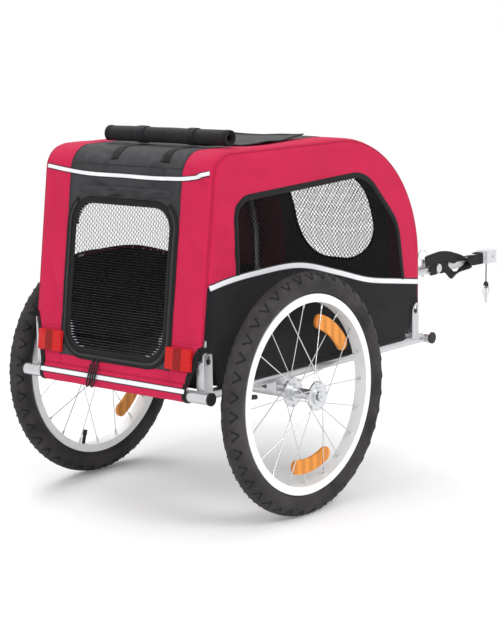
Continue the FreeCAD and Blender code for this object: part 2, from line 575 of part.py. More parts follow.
# Cover
thick = size("cover_thick")
half = size("cover_half")
knee = V(ahead("knee_x"), 0, size("knee_z"))
roof = size("roof_z")
roof_rear = V(knee.x + size("rear_lean") * (roof - knee.z), 0, roof)
profile = rounded([
    (V(ahead("cover_low_x"), 0, size("cover_low_z")), 0), (knee, size("knee_round")),
    (roof_rear, size("roof_rear_round")), (V(ahead("nose_x"), 0, roof), size("nose_round")),
    (V(ahead("nose_x"), 0, size("nose_low_z")), size("nose_low_round")),
    (V(ahead("nose_foot_x"), 0, size("cover_low_z")), 0)])


def prism(wire, reach):
    """Solid of a closed XZ wire reaching a distance to both sides of the middle plane."""
    face = Part.Face(wire)
    face.translate(V(0, -reach, 0))
    return face.extrude(V(0, 2 * reach, 0))


def closed_profile(wire, drop):
    """The profile closed by a straight line a distance under its ends."""
    first, last = wire.OrderedVertexes[0].Point, wire.OrderedVertexes[-1].Point
    low = V(0, 0, -drop)
    if drop == 0:
        return Part.Wire(wire.Edges + [Part.makeLine(last, first)])
    return Part.Wire(wire.Edges + [Part.makeLine(last, last + low), Part.makeLine(last + low, first + low),
                                   Part.makeLine(first + low, first)])


def side_rims(solid, reach):
    """Edges of the solid that run along the profile on its two side faces."""
    low = size("cover_low_z")
    rims = []
    for edge in solid.Edges:
        box = edge.BoundBox
        if abs(abs(box.Center.y) - reach) < 0.01 and box.YLength < 0.01 and box.ZMax > low + 1:
            rims.append(edge)
    return rims


outer_solid = prism(closed_profile(profile, 0), half)
inner_wire = closed_profile(profile, 0).makeOffset2D(-thick)
inner_solid = prism(inner_wire, half - thick)
outer_solid = outer_solid.makeFillet(size("cover_round"), side_rims(outer_solid, half))
inner_solid = inner_solid.makeFillet(size("cover_round") - thick, side_rims(inner_solid, half - thick))
low_z = size("cover_low_z")
mouth = Part.makeBox(ahead("nose_foot_x") - ahead("cover_low_x") - 3 * thick, 2 * (half - thick), 3 * thick,
                     V(ahead("cover_low_x") + 1.2 * thick, -(half - thick), low_z - thick))
cover = outer_solid.cut(inner_solid.fuse(mouth))
reach_x = (ahead("cover_low_x") - 50, ahead("nose_x") + 50)


def slab(x_from, x_to, y_from, y_to, z_from, z_to):
    return Part.makeBox(x_to - x_from, y_to - y_from, z_to - z_from, V(x_from, y_from, z_from))


def curve(points):
    """Smooth edge through points of the side view."""
    line = Part.BSplineCurve()
    line.interpolate([V(size("axle_x") + x, 0, z) for x, z in points])
    return line.toShape()


WAVE = ((-290, 490), (-197, 500), (-70, 510), (70, 508), (197, 477), (306, 447), (420, 429), (510, 416),
    (570, 408))


def under_wave(lift):
    """Region of the side view under the wave line raised by a distance."""
    edge = curve([(x, z + lift) for x, z in WAVE])
    left = V(size("axle_x") + WAVE[0][0], 0, WAVE[0][1] + lift)
    right = V(size("axle_x") + WAVE[-1][0], 0, WAVE[-1][1] + lift)
    base = V(0, 0, low_z - 20)
    left_low, right_low = V(left.x, 0, base.z), V(right.x, 0, base.z)
    return Part.Wire([edge, Part.makeLine(right, right_low), Part.makeLine(right_low, left_low),
                      Part.makeLine(left_low, left)])


WINDOW = (((-132, 524), 16), ((-138, 664), 44), ((300, 682), 110), ((418, 560), 100), ((441, 443), 8))
WINDOW_FOOT = ((441, 443), (380, 452), (306, 464), (197, 494), (70, 524), (-20, 527), (-132, 524))


def window_wire():
    """Closed outline of a side window in the side view."""
    points = [(V(size("axle_x") + x, 0, z), radius) for (x, z), radius in WINDOW]
    upper = rounded(points)
    return Part.Wire(upper.Edges + [curve(WINDOW_FOOT)])


window_face = Part.Face(window_wire())
window_cut = prism(window_wire(), half + 10)
wave_solid = prism(under_wave(0), half + 10)
centre_half = size("centre_half")
panels = {}
lowers = []
for side, sign in SIDES:
    span = (centre_half, half + 5) if sign > 0 else (-half - 5, -centre_half)
    flank = cover.common(slab(reach_x[0], reach_x[1], span[0], span[1], low_z - 5, roof + 5))
    rear_of = slab(reach_x[0], ahead("lower_rear_x"), span[0], span[1], low_z - 5, roof + 5)
    below = wave_solid.cut(rear_of)
    bare_z = size(side + "_pivot_z") + size("corner_cut_rise")
    bare_y = (size("corner_cut_half"), half + 5) if sign > 0 else (-half - 5, -size("corner_cut_half"))
    bare = [slab(reach_x[0], ahead("corner_cut_x"), bare_y[0], bare_y[1], low_z - 5, bare_z),
            slab(ahead("front_cut_x"), reach_x[1], bare_y[0], bare_y[1], low_z - 5, bare_z)]
    red = flank.cut([below, window_cut] + bare)
    lowers.append(flank.common(below).cut(bare))
    node(side + "_side_panel", formed(side + "_red", red))
node("lower_side_panels", formed("lower_black",
    Part.makeCompound([piece for one in lowers for piece in one.Solids])))


def net(face, across, up, step_across, step_up):
    """Face with diamond gaps wherever a whole gap fits inside its margin."""
    inner = face.OuterWire.makeOffset2D(-size("net_margin"))
    room = Part.Face(inner)
    box = face.BoundBox
    centre = box.Center
    wide, high = (step_across - size("net_bar")) / 2, (step_up - size("net_bar")) / 2
    reach = int(2 * box.DiagonalLength / min(step_across, step_up))
    gaps = []
    for column in range(-reach, reach + 1):
        for line in range(-reach, reach + 1):
            if (column + line) % 2:
                continue
            middle = centre + across * (column * step_across / 2) + up * (line * step_up / 2)
            corners = [middle + across * wide, middle + up * high, middle - across * wide, middle - up * high]
            if not box.isInside(middle) or not all(room.isInside(one, 1e-3, True) for one in corners):
                continue
            gaps.append(Part.makePolygon(corners + corners[:1]))
    return Part.makeFace([face.OuterWire] + gaps, "Part::FaceMakerBullseye").Faces[0]


def net_solid(face, way):
    solid = face.extrude(way)
    if solid.Volume < 0:
        solid.reverse()
    return solid


window_net = net(window_face, V(1, 0, 0), V(0, 0, 1), size("net_step_across"), size("net_step_up"))
nets = []
for side, sign in SIDES:
    face = window_net.copy()
    face.translate(V(0, sign * (half - thick / 2), 0))
    nets.append(net_solid(face, V(0, sign * size("net_thick"), 0)))
node("window_nets", formed("window_net_pair", Part.makeCompound(nets)))

centre = cover.common(slab(reach_x[0], reach_x[1], -centre_half, centre_half, low_z - 5, roof + 5))
rear_join = slab(reach_x[0], ahead("knee_x") + 200, -half, half, low_z - 5, size("rear_join_z"))
front_join = slab(ahead("front_join_x"), reach_x[1], -half, half, low_z - 5, roof + 5)

# The rear of the cover is a flat leaning plane from the knee up.
lean_angle = math.atan(size("rear_lean"))
rear_up = V(math.sin(lean_angle), 0, math.cos(lean_angle))
rear_out = V(-math.cos(lean_angle), 0, math.sin(lean_angle))


def on_rear(y, z, out=0.0):
    """Point of the leaning rear plane at a height, moved outwards."""
    return V(knee.x + size("rear_lean") * (z - knee.z), y, z) + rear_out * out


def rear_wire(half_width, low, high, radius, out=0.0):
    return rounded([(on_rear(-half_width, low, out), radius), (on_rear(half_width, low, out), radius),
                    (on_rear(half_width, high, out), radius), (on_rear(-half_width, high, out), radius)],
                    True)


def rear_plate(half_width, low, high, radius, out, depth, y=0.0):
    plate = Part.Face(rear_wire(half_width, low, high, radius, out)).extrude(rear_out * depth)
    return plate.translated(V(0, y, 0))


door_low, door_high, door_round = size("door_low_z"), size("door_high_z"), size("door_round")
door_hole = rear_plate(size("door_half"), door_low, door_high, door_round, -4 * thick, 8 * thick)
node("centre_rear_panel", formed("rear_black", centre.common(rear_join).cut(door_hole)))
gap = size("door_gap")
band = size("door_band")
door_face = Part.Face(rear_wire(size("door_half") - gap, door_low + gap, door_high - gap,
    door_round - gap, 0))
net_wire = rear_wire(size("door_half") - gap - band, door_low + gap + band, door_high - gap - band,
                     door_round - gap - band, 0)
door_ring = door_face.cut(Part.Face(net_wire)).Faces[0].extrude(rear_out * -size("door_thick"))
door_net = net(Part.Face(net_wire), V(0, 1, 0), rear_up, size("net_step_across"), size("net_step_up"))
door_net.translate(rear_out * -((size("door_thick") - size("net_thick")) / 2))
door_net = net_solid(door_net, rear_out * -size("net_thick"))
node("rear_door", formed("door_pieces", Part.makeCompound([door_ring, door_net])))

node("centre_roof_panel", formed("roof_black", centre.cut([rear_join, front_join])))
front_half, front_low, front_high = size("front_net_half"), size("front_net_low_z"), size("front_net_high_z")
front_at = ahead("front_join_x")
front_wire = rounded([(V(front_at, y, z), size("front_net_round")) for y, z in (
    (-front_half, front_low), (front_half, front_low), (front_half, front_high), (-front_half,
    front_high))], True)
front_prism = Part.Face(front_wire).extrude(V(400, 0, 0))
front_panel = centre.common(front_join)
front_frame = front_panel.cut(front_prism)
front_net_face = net(Part.Face(front_wire), V(0, 1, 0), V(0, 0, 1), size("front_step_across"),
    size("front_step_up"))
front_net = front_panel.common(net_solid(front_net_face, V(400, 0, 0)))
node("centre_front_panel", formed("front_pieces", Part.makeCompound(front_frame.Solids + front_net.Solids)))

hem_at = (rear_way, "-hem_half", "base_z")
node("rear_hem", cut("hem_cut", cylinder("hem_out", "hem_radius", "2 * hem_half", hem_at, "y"),
                     cylinder("hem_in", "hem_bore", "2 * hem_half", hem_at, "y")))

strip, lift, height = size("strip_thick"), size("strip_gap"), size("strip_height")
ribbon = prism(under_wave(height / 2), half).cut(prism(under_wave(-height / 2), half + 1))
ribbon = ribbon.cut(slab(reach_x[0], ahead("lower_rear_x") + 14, -half, half, low_z - 5, roof))
ribbon = ribbon.cut(slab(ahead("nose_x") - 26, reach_x[1] + 60, -half, half, low_z - 5, roof))
strips = []
for side, sign in SIDES:
    skin = slab(reach_x[0], reach_x[1] + 60, 0, strip, low_z - 5, roof)
    skin = skin.translated(V(0, half - strip if sign > 0 else -half, 0))
    strips.append(ribbon.common(skin).translated(V(0, sign * (strip + lift), 0)))
strips.append(rear_plate(size("rear_strip_half"), size("top_strip_z"), size("top_strip_z") + height, 1,
    lift, strip))
foot_x = ahead("cover_low_x") + 1.5
low_strip = size("low_strip_z")
strips.append(slab(foot_x - lift - 2.4, foot_x - lift - 2.4 + strip, -size("low_strip_half"),
    size("low_strip_half"),
                   low_strip, low_strip + height))
node("reflective_strips", formed("strip_set",
    Part.makeCompound([one for piece in strips for one in piece.Solids])))

for name, alias in (("one", "slider_one_y"), ("two", "slider_two_y")):
    y = size(alias)
    foot = size("slider_low_z")
    slider = rear_plate(size("slider_width") / 2, foot, foot + size("slider_height"), 2, lift,
        size("slider_depth"), y)
    long, wide = size("pull_length"), size("pull_width") / 2
    ring = [(V(0, -wide, 0), wide * 0.98), (V(0, wide, 0), wide * 0.98), (V(0, wide, -long), wide * 0.98),
            (V(0, -wide, -long), wide * 0.98)]
    outline = rounded(ring, True)
    inner = outline.makeOffset2D(-size("pull_thick"))
    loop = Part.Face(outline).cut(Part.Face(inner)).extrude(V(-size("pull_thick"), 0, 0)).Solids[0]
    loop.rotate(V(), V(0, 1, 0), size("pull_slope"))
    loop.translate(on_rear(y, foot - 0.4, size("slider_depth")))
    node("zip_slider_" + name, formed("slider_%s_pieces" % name, Part.makeCompound([slider, loop])))

lenses = []
for side, sign in SIDES:
    y, z = sign * size("rear_reflector_y"), size("rear_reflector_z")
    wide, tall = size("rear_reflector_width") / 2, size("rear_reflector_height") / 2
    rim, back = size("reflector_back_rim"), size("reflector_back")
    lenses.append(rear_plate(wide + rim, z - tall - rim, z + tall + rim, 6, lift, back, y))
    lenses.append(rear_plate(wide, z - tall, z + tall, 5, lift + back, size("rear_reflector_depth"), y))
node("rear_reflectors", formed("lens_set", Part.makeCompound(lenses)))


def spiral(radius_from, radius_to, turns, centre, steps=24):
    """Points of a flat spiral about a centre in the side view."""
    count = int(turns * steps)
    for index in range(count + 1):
        share = index / count
        radius = radius_from + (radius_to - radius_from) * share
        angle = 2 * math.pi * turns * share - math.pi / 2
        yield centre + V(radius * math.cos(angle), 0, radius * math.sin(angle))


roll_radius, cloth = size("roll_radius"), size("roll_cloth")
roll_at = V(ahead("roll_x"), size("roll_y"), roof + size("roll_lift") + roll_radius)
turns = (roll_radius - size("roll_core") - cloth) / size("roll_pitch")
outside = Part.BSplineCurve()
outside.interpolate(list(spiral(size("roll_core") + cloth, roll_radius, turns, roll_at)))
inside = Part.BSplineCurve()
inside.interpolate(list(spiral(size("roll_core"), roll_radius - cloth, turns, roll_at)))
roll_edges = [outside.toShape(), inside.toShape()]
roll_edges.append(Part.makeLine(outside.StartPoint, inside.StartPoint))
roll_edges.append(Part.makeLine(outside.EndPoint, inside.EndPoint))
roll_face = Part.Face(Part.Wire(Part.__sortEdges__(roll_edges)))
roll_face.translate(V(0, -size("roll_half"), 0))
roll_solid = roll_face.extrude(V(0, 2 * size("roll_half"), 0))
node("cover_roll", formed("roll_cloth_turns", roll_solid))

tabs = []
tab_in = roll_radius + size("tab_gap")
tab_out = tab_in + size("tab_thick")
for sign in (-1, 1):
    foot = V(roll_at.x, roll_at.y + sign * size("tab_y") - size("tab_width") / 2, roll_at.z)
    hoop_band = Part.makeCylinder(tab_out, size("tab_width"), foot, V(0, 1, 0))
    tail = Part.makeBox(size("tab_tail"), size("tab_width"), size("tab_thick"),
                        V(roll_at.x - size("tab_tail"), foot.y, roll_at.z - tab_out))
    eye = Part.makeCylinder(tab_in, size("tab_width"), foot, V(0, 1, 0))
    tabs.append(hoop_band.fuse(tail).cut(eye))
node("roll_tabs", formed("tab_pair", Part.makeCompound(tabs)))

flap_rear, flap_front = ahead("flap_rear_x"), ahead("flap_front_x")
run = flap_front - flap_rear
flap_low = roof + size("flap_low")
wave, lip = size("flap_wave"), size("flap_lip")
flap_line = ((0.0, 0.3), (0.18, wave), (0.36, 0.6), (0.55, wave * 0.8), (0.74, 0.6), (0.9, lip * 0.5),
    (1.0, lip))
lower_edge = Part.BSplineCurve()
lower_edge.interpolate([V(flap_rear + run * share, 0, flap_low + up) for share, up in flap_line])
upper_edge = Part.BSplineCurve()
upper_edge.interpolate([V(flap_rear + run * share, 0, flap_low + up + size("flap_thick")) for share,
    up in flap_line])
flap_wire = Part.Wire(Part.__sortEdges__([
    lower_edge.toShape(), upper_edge.toShape(), Part.makeLine(lower_edge.StartPoint, upper_edge.StartPoint),
    Part.makeLine(lower_edge.EndPoint, upper_edge.EndPoint)]))
node("roof_flap", formed("flap_cloth", prism(flap_wire, size("flap_half"))))

# Drawbar and hitch
bar_y = size("drawbar_y")
bar_z = size("base_z") - size("cross_radius") - size("sleeve_radius")
hitch_z = size("hitch_z")
bend = size("drawbar_bend")
bar_wire = rounded([(V(ahead("drawbar_rear_x"), bar_y, bar_z), 0), (V(ahead("drawbar_bend_low_x"), bar_y,
    bar_z), bend),
                    (V(ahead("drawbar_bend_high_x"), bar_y, hitch_z), bend),
                    (V(ahead("drawbar_front_x"), bar_y, hitch_z), 0)])
bar_solid = swept(bar_wire, size("drawbar_radius")).cut(swept(bar_wire,
    size("drawbar_radius") - size("drawbar_wall")))
ring_hole = Part.makeCylinder(size("ring_pin_hole"), 8 * size("drawbar_radius"),
                              V(ahead("ring_pin_x"), bar_y, hitch_z - 4 * size("drawbar_radius")))
node("drawbar_tube", formed("drawbar_bent", bar_solid.cut(ring_hole)))

pin_hole_object = formed("ring_pin_drill", ring_hole)
front_end = "axle_x + drawbar_front_x"
plug = cylinder("yoke_plug", "plug_radius", "plug_length", (front_end + " - plug_length", "drawbar_y",
    "hitch_z"), "x")
bolt_way = "axle_x + bolt_x"
fork = block("yoke_fork", "bolt_x - drawbar_front_x + yoke_half_z", "2 * yoke_half_y", "2 * yoke_half_z",
             (front_end + " + 0.3", "drawbar_y - yoke_half_y", "hitch_z - yoke_half_z"))
neck = cylinder("yoke_neck", "plug_radius", "yoke_block", (front_end + " - 1", "drawbar_y", "hitch_z"), "x")
fork_gap = block("yoke_gap", "bolt_x", "2 * (arm_half_y + arm_gap)", "2 * yoke_half_z",
                 (front_end + " + yoke_block", "drawbar_y - arm_half_y - arm_gap", "hitch_z - yoke_half_z"))
bolt_bore = cylinder("yoke_bolt_bore", "bolt_radius", "2 * yoke_half_y", (bolt_way,
    "drawbar_y - yoke_half_y", "hitch_z"), "y")
node("hitch_yoke", cut("yoke_cut", fuse("yoke_solid", plug, neck, fork), fork_gap, bolt_bore,
    pin_hole_object))

shank = cylinder("bolt_shank", "bolt_radius", "2 * yoke_half_y + nut_length + 2",
                 (bolt_way, "drawbar_y - yoke_half_y", "hitch_z"), "y")
bolt_head = cylinder("bolt_round_head", "bolt_head_radius", "bolt_head",
                     (bolt_way, "drawbar_y - yoke_half_y - bolt_head", "hitch_z"), "y")
nut = doc.addObject("Part::Prism", "bolt_nut_hexagon")
nut.Polygon = 6
nut.Placement = FreeCAD.Placement(V(), TURN["y"])
bind(nut, (bolt_way, "drawbar_y + yoke_half_y", "hitch_z"), Circumradius="nut_radius", Height="nut_length")
nut_bore = cylinder("bolt_nut_bore", "bolt_radius", "nut_length", (bolt_way, "drawbar_y + yoke_half_y",
    "hitch_z"), "y")
node("hitch_bolt", group("bolt_group", fuse("bolt_solid", shank, bolt_head), cut("bolt_nut", nut, nut_bore)))

arm_bar = block("arm_bar", "arm_front_x - bolt_x", "2 * arm_half_y", "2 * arm_half_z",
                (bolt_way, "drawbar_y - arm_half_y", "hitch_z - arm_half_z"))
arm_eye = cylinder("arm_eye", "arm_half_z", "2 * arm_half_y", (bolt_way, "drawbar_y - arm_half_y",
    "hitch_z"), "y")
arm_hole = cylinder("arm_hole", "bolt_hole", "2 * arm_half_y", (bolt_way, "drawbar_y - arm_half_y",
    "hitch_z"), "y")
arm_inside = block("arm_inside", "arm_front_x - bolt_x - 40", "2 * arm_half_y - 4", "2 * arm_half_z - 4",
                   (bolt_way + " + 30", "drawbar_y - arm_half_y + 2", "hitch_z - arm_half_z + 2"))
head_way = "axle_x + arm_front_x"
receiver = block("receiver_box", "receiver_front_x - arm_front_x + 4", "2 * receiver_half",
    "2 * receiver_half",
                 (head_way + " - 4", "drawbar_y - receiver_half", "hitch_z - receiver_half"))
receiver_room = block("receiver_room", "receiver_front_x - arm_front_x", "2 * receiver_hole",
    "2 * receiver_hole",
                      (head_way, "drawbar_y - receiver_hole", "hitch_z - receiver_hole"))
hitch_bore = cylinder("receiver_bore", "hitch_hole", "2 * receiver_half",
                      ("axle_x + hitch_hole_x", "drawbar_y - receiver_half", "hitch_z"), "y")
node("hitch_arm", cut("arm_cut", fuse("arm_solid", arm_bar, arm_eye, receiver), arm_hole, arm_inside,
    receiver_room,
                      hitch_bore))

pin_way = "axle_x + ring_pin_x"
pin_stem = cylinder("ring_pin_stem", "ring_pin_radius", "ring_pin_low + ring_head_low",
                    (pin_way, "drawbar_y", "hitch_z - ring_pin_low"))
pin_head = cylinder("ring_pin_head", "ring_head_radius", "ring_head_high - ring_head_low",
                    (pin_way, "drawbar_y", "hitch_z + ring_head_low"))
pin_eye = cylinder("ring_pin_eye", "ring_eye", "2 * ring_head_radius",
                   (pin_way, "drawbar_y - ring_head_radius", "hitch_z + ring_eye_up"), "y")
pull_ring = torus("pull_ring", "ring_radius", "ring_wire", (pin_way, "drawbar_y",
    "hitch_z + ring_eye_up + ring_radius"))
pull_ring.Placement = FreeCAD.Placement(pull_ring.Placement.Base, TURN["x"])
pin_eye.Placement = FreeCAD.Placement(pin_eye.Placement.Base, TURN["y"])
node("ring_pin", group("ring_pin_group", cut("ring_pin_cut", fuse("ring_pin_solid", pin_stem, pin_head),
    pin_eye),
                       pull_ring))

# The safety strap lies on the right face of the arm, held by two bands, with one tail hanging.
strap_thick, strap_half = size("strap_thick"), size("strap_width") / 2
strap_y = bar_y - size("arm_half_y") - size("strap_gap") - strap_thick
strap_rear, strap_front = ahead("strap_rear_x"), ahead("strap_front_x")


def strap_band(points, width):
    """Flat ribbon of a width along points of the side view."""
    upper = [V(strap_rear + x, strap_y, hitch_z + z + width) for x, z in points]
    lower = [V(strap_rear + x, strap_y, hitch_z + z - width) for x, z in points]
    top_edge, low_edge = Part.BSplineCurve(), Part.BSplineCurve()
    top_edge.interpolate(upper)
    low_edge.interpolate(lower)
    wire = Part.Wire(Part.__sortEdges__([top_edge.toShape(), low_edge.toShape(), Part.makeLine(upper[0],
        lower[0]),
                                         Part.makeLine(upper[-1], lower[-1])]))
    return Part.Face(wire).extrude(V(0, strap_thick, 0))


length = strap_front - strap_rear
main_run = strap_band([(0, -1), (length * 0.3, 3), (length * 0.6, -2), (length, 2)], strap_half * 0.92)
tail_x, tail_drop = ahead("strap_tail_x"), size("strap_tail_drop")
tail = rounded([(V(tail_x - strap_half, strap_y, hitch_z + 6), 1), (V(tail_x + strap_half, strap_y,
    hitch_z + 6), 1),
                (V(tail_x + 2 * strap_half, strap_y, hitch_z - tail_drop), strap_half * 0.9),
                (V(tail_x, strap_y, hitch_z - tail_drop), strap_half * 0.9)], True)
tail_solid = Part.Face(tail).extrude(V(0, strap_thick, 0))
bands = []
for alias in ("band_one_x", "band_two_x"):
    out_y = size("arm_half_y") + size("strap_gap") + strap_thick
    out_z = size("arm_half_z") + size("strap_gap") + strap_thick
    in_y, in_z = out_y - strap_thick, out_z - strap_thick
    wide = strap_half * 1.4
    ring = slab(ahead(alias) - wide / 2, ahead(alias) + wide / 2, bar_y - out_y, bar_y + out_y,
                hitch_z - out_z, hitch_z + out_z)
    eye = slab(ahead(alias) - wide / 2, ahead(alias) + wide / 2, bar_y - in_y, bar_y + in_y,
               hitch_z - in_z, hitch_z + in_z)
    bands.append(ring.cut(eye))
node("safety_strap", formed("strap_cloth", main_run.fuse([tail_solid] + bands).removeSplitter()))

cord_top = hitch_z - size("receiver_half")
cord_x = ahead("lanyard_x")
cord_run = size("lanyard_length")
node("lanyard", formed("lanyard_cord", Part.makeCylinder(
    size("lanyard_radius"), cord_run, V(cord_x, bar_y, cord_top - cord_run))))
pin_top = cord_top - cord_run - 0.2
stem = Part.makeCylinder(size("linch_radius"), size("linch_length"), V(cord_x, bar_y,
    pin_top - size("linch_length")))
head = Part.makeCylinder(size("linch_head_radius"), size("linch_head"), V(cord_x, bar_y,
    pin_top - size("linch_head")))
clip = Part.makeTorus(size("linch_ring"), size("linch_wire"),
                      V(cord_x, bar_y, pin_top - size("linch_head") / 2 - size("linch_ring")), V(0, 1, 0))
node("linch_pin", formed("linch_solid", stem.fuse([head, clip]).removeSplitter()))

doc.recompute()

problems = []
for obj in doc.Objects:
    if any(word in obj.State for word in ("Invalid", "Error")):
        problems.append("%s is %s" % (obj.Name, obj.State))
for obj in NODES:
    if obj.Shape.isNull() or not obj.Shape.isValid() or not obj.Shape.Solids:
        problems.append("%s has no valid shape" % obj.Label)
if problems:
    raise ValueError("; ".join(problems))

os.makedirs("parts", exist_ok=True)
for obj in NODES:
    obj.Shape.exportStep("parts/%s.step" % obj.Label)
print("%d pieces written" % len(NODES))
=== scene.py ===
"""Dresses a two-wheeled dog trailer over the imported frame: cabin, nets, tyres, reflectors and hitch strap."""

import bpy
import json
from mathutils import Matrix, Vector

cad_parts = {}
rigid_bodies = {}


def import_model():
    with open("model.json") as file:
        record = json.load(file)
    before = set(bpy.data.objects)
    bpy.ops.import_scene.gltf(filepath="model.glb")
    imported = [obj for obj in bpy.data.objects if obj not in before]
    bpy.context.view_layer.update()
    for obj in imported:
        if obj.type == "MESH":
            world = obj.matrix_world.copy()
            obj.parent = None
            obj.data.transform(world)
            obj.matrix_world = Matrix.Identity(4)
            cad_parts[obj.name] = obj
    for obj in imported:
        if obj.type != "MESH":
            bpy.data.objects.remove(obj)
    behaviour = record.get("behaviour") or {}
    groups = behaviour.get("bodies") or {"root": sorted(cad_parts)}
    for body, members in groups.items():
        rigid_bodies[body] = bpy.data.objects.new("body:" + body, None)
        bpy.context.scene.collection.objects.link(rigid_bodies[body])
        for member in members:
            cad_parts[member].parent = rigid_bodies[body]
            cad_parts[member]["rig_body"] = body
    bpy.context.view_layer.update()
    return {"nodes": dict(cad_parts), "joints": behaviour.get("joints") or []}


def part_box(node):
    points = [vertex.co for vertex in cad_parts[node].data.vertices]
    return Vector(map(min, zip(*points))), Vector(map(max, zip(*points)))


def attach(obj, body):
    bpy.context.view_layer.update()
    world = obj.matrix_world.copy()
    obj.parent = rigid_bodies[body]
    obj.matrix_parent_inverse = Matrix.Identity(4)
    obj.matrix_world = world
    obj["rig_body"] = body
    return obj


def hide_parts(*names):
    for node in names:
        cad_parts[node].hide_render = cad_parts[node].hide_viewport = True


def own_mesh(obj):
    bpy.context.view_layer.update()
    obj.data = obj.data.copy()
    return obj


bl_info = {
    "name": "Dog trailer",
    "version": (1, 0, 0),
    "blender": (4, 5, 0),
    "location": "View3D > Sidebar > Trailer",
    "description": "Cloth, nets, tyres and fittings of a dog trailer for a bicycle",
    "category": "Object",
}

import cmath
import json
import math

import bmesh
import bpy
import numpy as np
from bpy.props import FloatProperty, FloatVectorProperty, IntProperty, PointerProperty
from mathutils import Matrix, Vector, noise

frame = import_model()
NODES = frame["nodes"]
JOINTS = {joint["name"]: joint for joint in frame["joints"]}
AXLE_X = JOINTS["right_wheel_spin"]["pos_m"][0]
SIDES = (("right", -1), ("left", 1))

# Millimetres ahead of the axle and above the floor, with the radius of each corner.
PROFILE = ((-254, 297.8, 0), (-251, 325, 60), (-193.1, 762, 56), (512, 762, 290), (512, 338, 30),
           (462, 297.8, 0))
WAVE = ((-232, 494), (-197, 500), (-70, 510), (70, 508), (197, 477), (306, 447), (420, 429), (512, 416))
WINDOW = ((-132, 512, 0), (-138, 664, 44), (300, 682, 110), (418, 560, 100), (441, 431, 0))
WINDOW_FOOT = ((380, 440), (306, 453), (197, 483), (70, 514), (-20, 517))
DOOR = ((-138, 341, 50), (138, 341, 50), (138, 653, 50), (-138, 653, 50))
DOORWAY = ((-145, 334, 56), (145, 334, 56), (145, 660, 56), (-145, 660, 56))
FRONT_NET = ((-120, 447, 100), (120, 447, 100), (120, 704, 100), (-120, 704, 100))


def length(name, description, value):
    """A length in metres that a user can change."""
    return FloatProperty(name=name, description=description, default=value, unit="LENGTH")


def colour(name, description, value):
    """A base colour that a user can change."""
    return FloatVectorProperty(name=name, description=description, subtype="COLOR", size=3, min=0, max=1,
                               default=value)


class TrailerSizes(bpy.types.PropertyGroup):
    """Sizes a user would change, in metres."""

    cover_half: length("Cabin half width", "From the middle plane to the side cloth", 0.241)
    edge_round: length("Edge rounding", "Radius where side cloth turns into the roof", 0.020)
    band_half: length("Centre panel half width", "Half width of the black centre panel", 0.155)
    cloth: length("Cloth", "Thickness of the coated cloth", 0.0015)
    window_pitch: length("Window net pitch", "Side of one gap of the window net", 0.0078)
    door_pitch: length("Door net pitch", "Width of one gap of the door net", 0.0066)
    net_cord: length("Net cord", "Thickness of the cords of the nets", 0.0014)
    tread_count: IntProperty(name="Chevrons", description="Chevrons on each shoulder of a tyre", default=40)


class TrailerColours(bpy.types.PropertyGroup):
    """Base colours of the finishes."""

    red: colour("Red cloth", "Coated red cloth of the cabin", (0.63, 0.020, 0.081))
    # The black of the rear and roof and the darker black of the lower sides are one black cloth: the lighter
    # copy is painted light where the panels face the lamps, and the lower sides take the darker copy as painted
    # shade.
    black: colour("Black cloth", "Coated black cloth of the rear and roof", (0.044, 0.043, 0.047))
    dark: colour("Lower cloth", "Coated black cloth of the lower sides", (0.014, 0.013, 0.015))
    tape: colour("Binding", "Black binding tape and webbing", (0.010, 0.010, 0.011))
    mesh: colour("Net", "Cords of the nets", (0.012, 0.012, 0.013))
    screen: colour("Door net", "Threads of the door net", (0.42, 0.42, 0.47))
    lining: colour("Lining", "Dark coating on the inside of the red cloth", (0.150, 0.040, 0.050))
    strip: colour("Reflective strip", "Reflective tape", (0.86, 0.87, 0.90))
    rubber: colour("Tyre", "Tyre rubber", (0.034, 0.031, 0.031))
    rim: colour("Rim", "Anodised rim", (0.93, 0.93, 0.93))
    steel: colour("Steel", "Plated steel", (0.66, 0.67, 0.69))
    paint: colour("Frame paint", "Silver frame paint", (0.58, 0.58, 0.60))
    amber: colour("Amber reflector", "Spoke reflectors", (0.95, 0.30, 0.03))
    lens: colour("Red reflector", "Rear reflectors", (0.50, 0.010, 0.010))
    plastic: colour("Black plastic", "Caps, knob and buttons", (0.016, 0.016, 0.017))


def sizes():
    return bpy.context.scene.trailer_sizes


def tint(name):
    return tuple(getattr(bpy.context.scene.trailer_colours, name)) + (1.0,)


# Finishes
class Value:
    """A shader socket that takes part in Python arithmetic."""

    def __init__(self, nodes, socket):
        self.nodes = nodes
        self.socket = socket

    def math(self, operation, other=0.0, swap=False):
        first, second = (other, self) if swap else (self, other)
        return self.nodes.node("ShaderNodeMath", {"operation": operation}, {0: first, 1: second})

    def __add__(self, other):
        return self.math("ADD", other)

    def __sub__(self, other):
        return self.math("SUBTRACT", other)

    def __mul__(self, other):
        return self.math("MULTIPLY", other)

    def __rsub__(self, other):
        return self.math("SUBTRACT", other, True)

    __radd__ = __add__
    __rmul__ = __mul__

    def wave(self, pitch):
        """Sine of the value with a pitch in its own unit."""
        return (self * (2 * math.pi / pitch)).math("SINE")


class Nodes:
    """A node tree under construction."""

    def __init__(self, tree):
        self.tree = tree

    def node(self, kind, settings, inputs, out=0):
        """Adds a node: its settings first, then the values or links of its sockets."""
        made = self.tree.nodes.new(kind)
        for key, value in settings.items():
            setattr(made, key, value)
        for key, value in inputs.items():
            self.join(made.inputs[key], value)
        return Value(self, made.outputs[out])

    def join(self, socket, value):
        if isinstance(value, Value):
            self.tree.links.new(value.socket, socket)
        else:
            socket.default_value = value


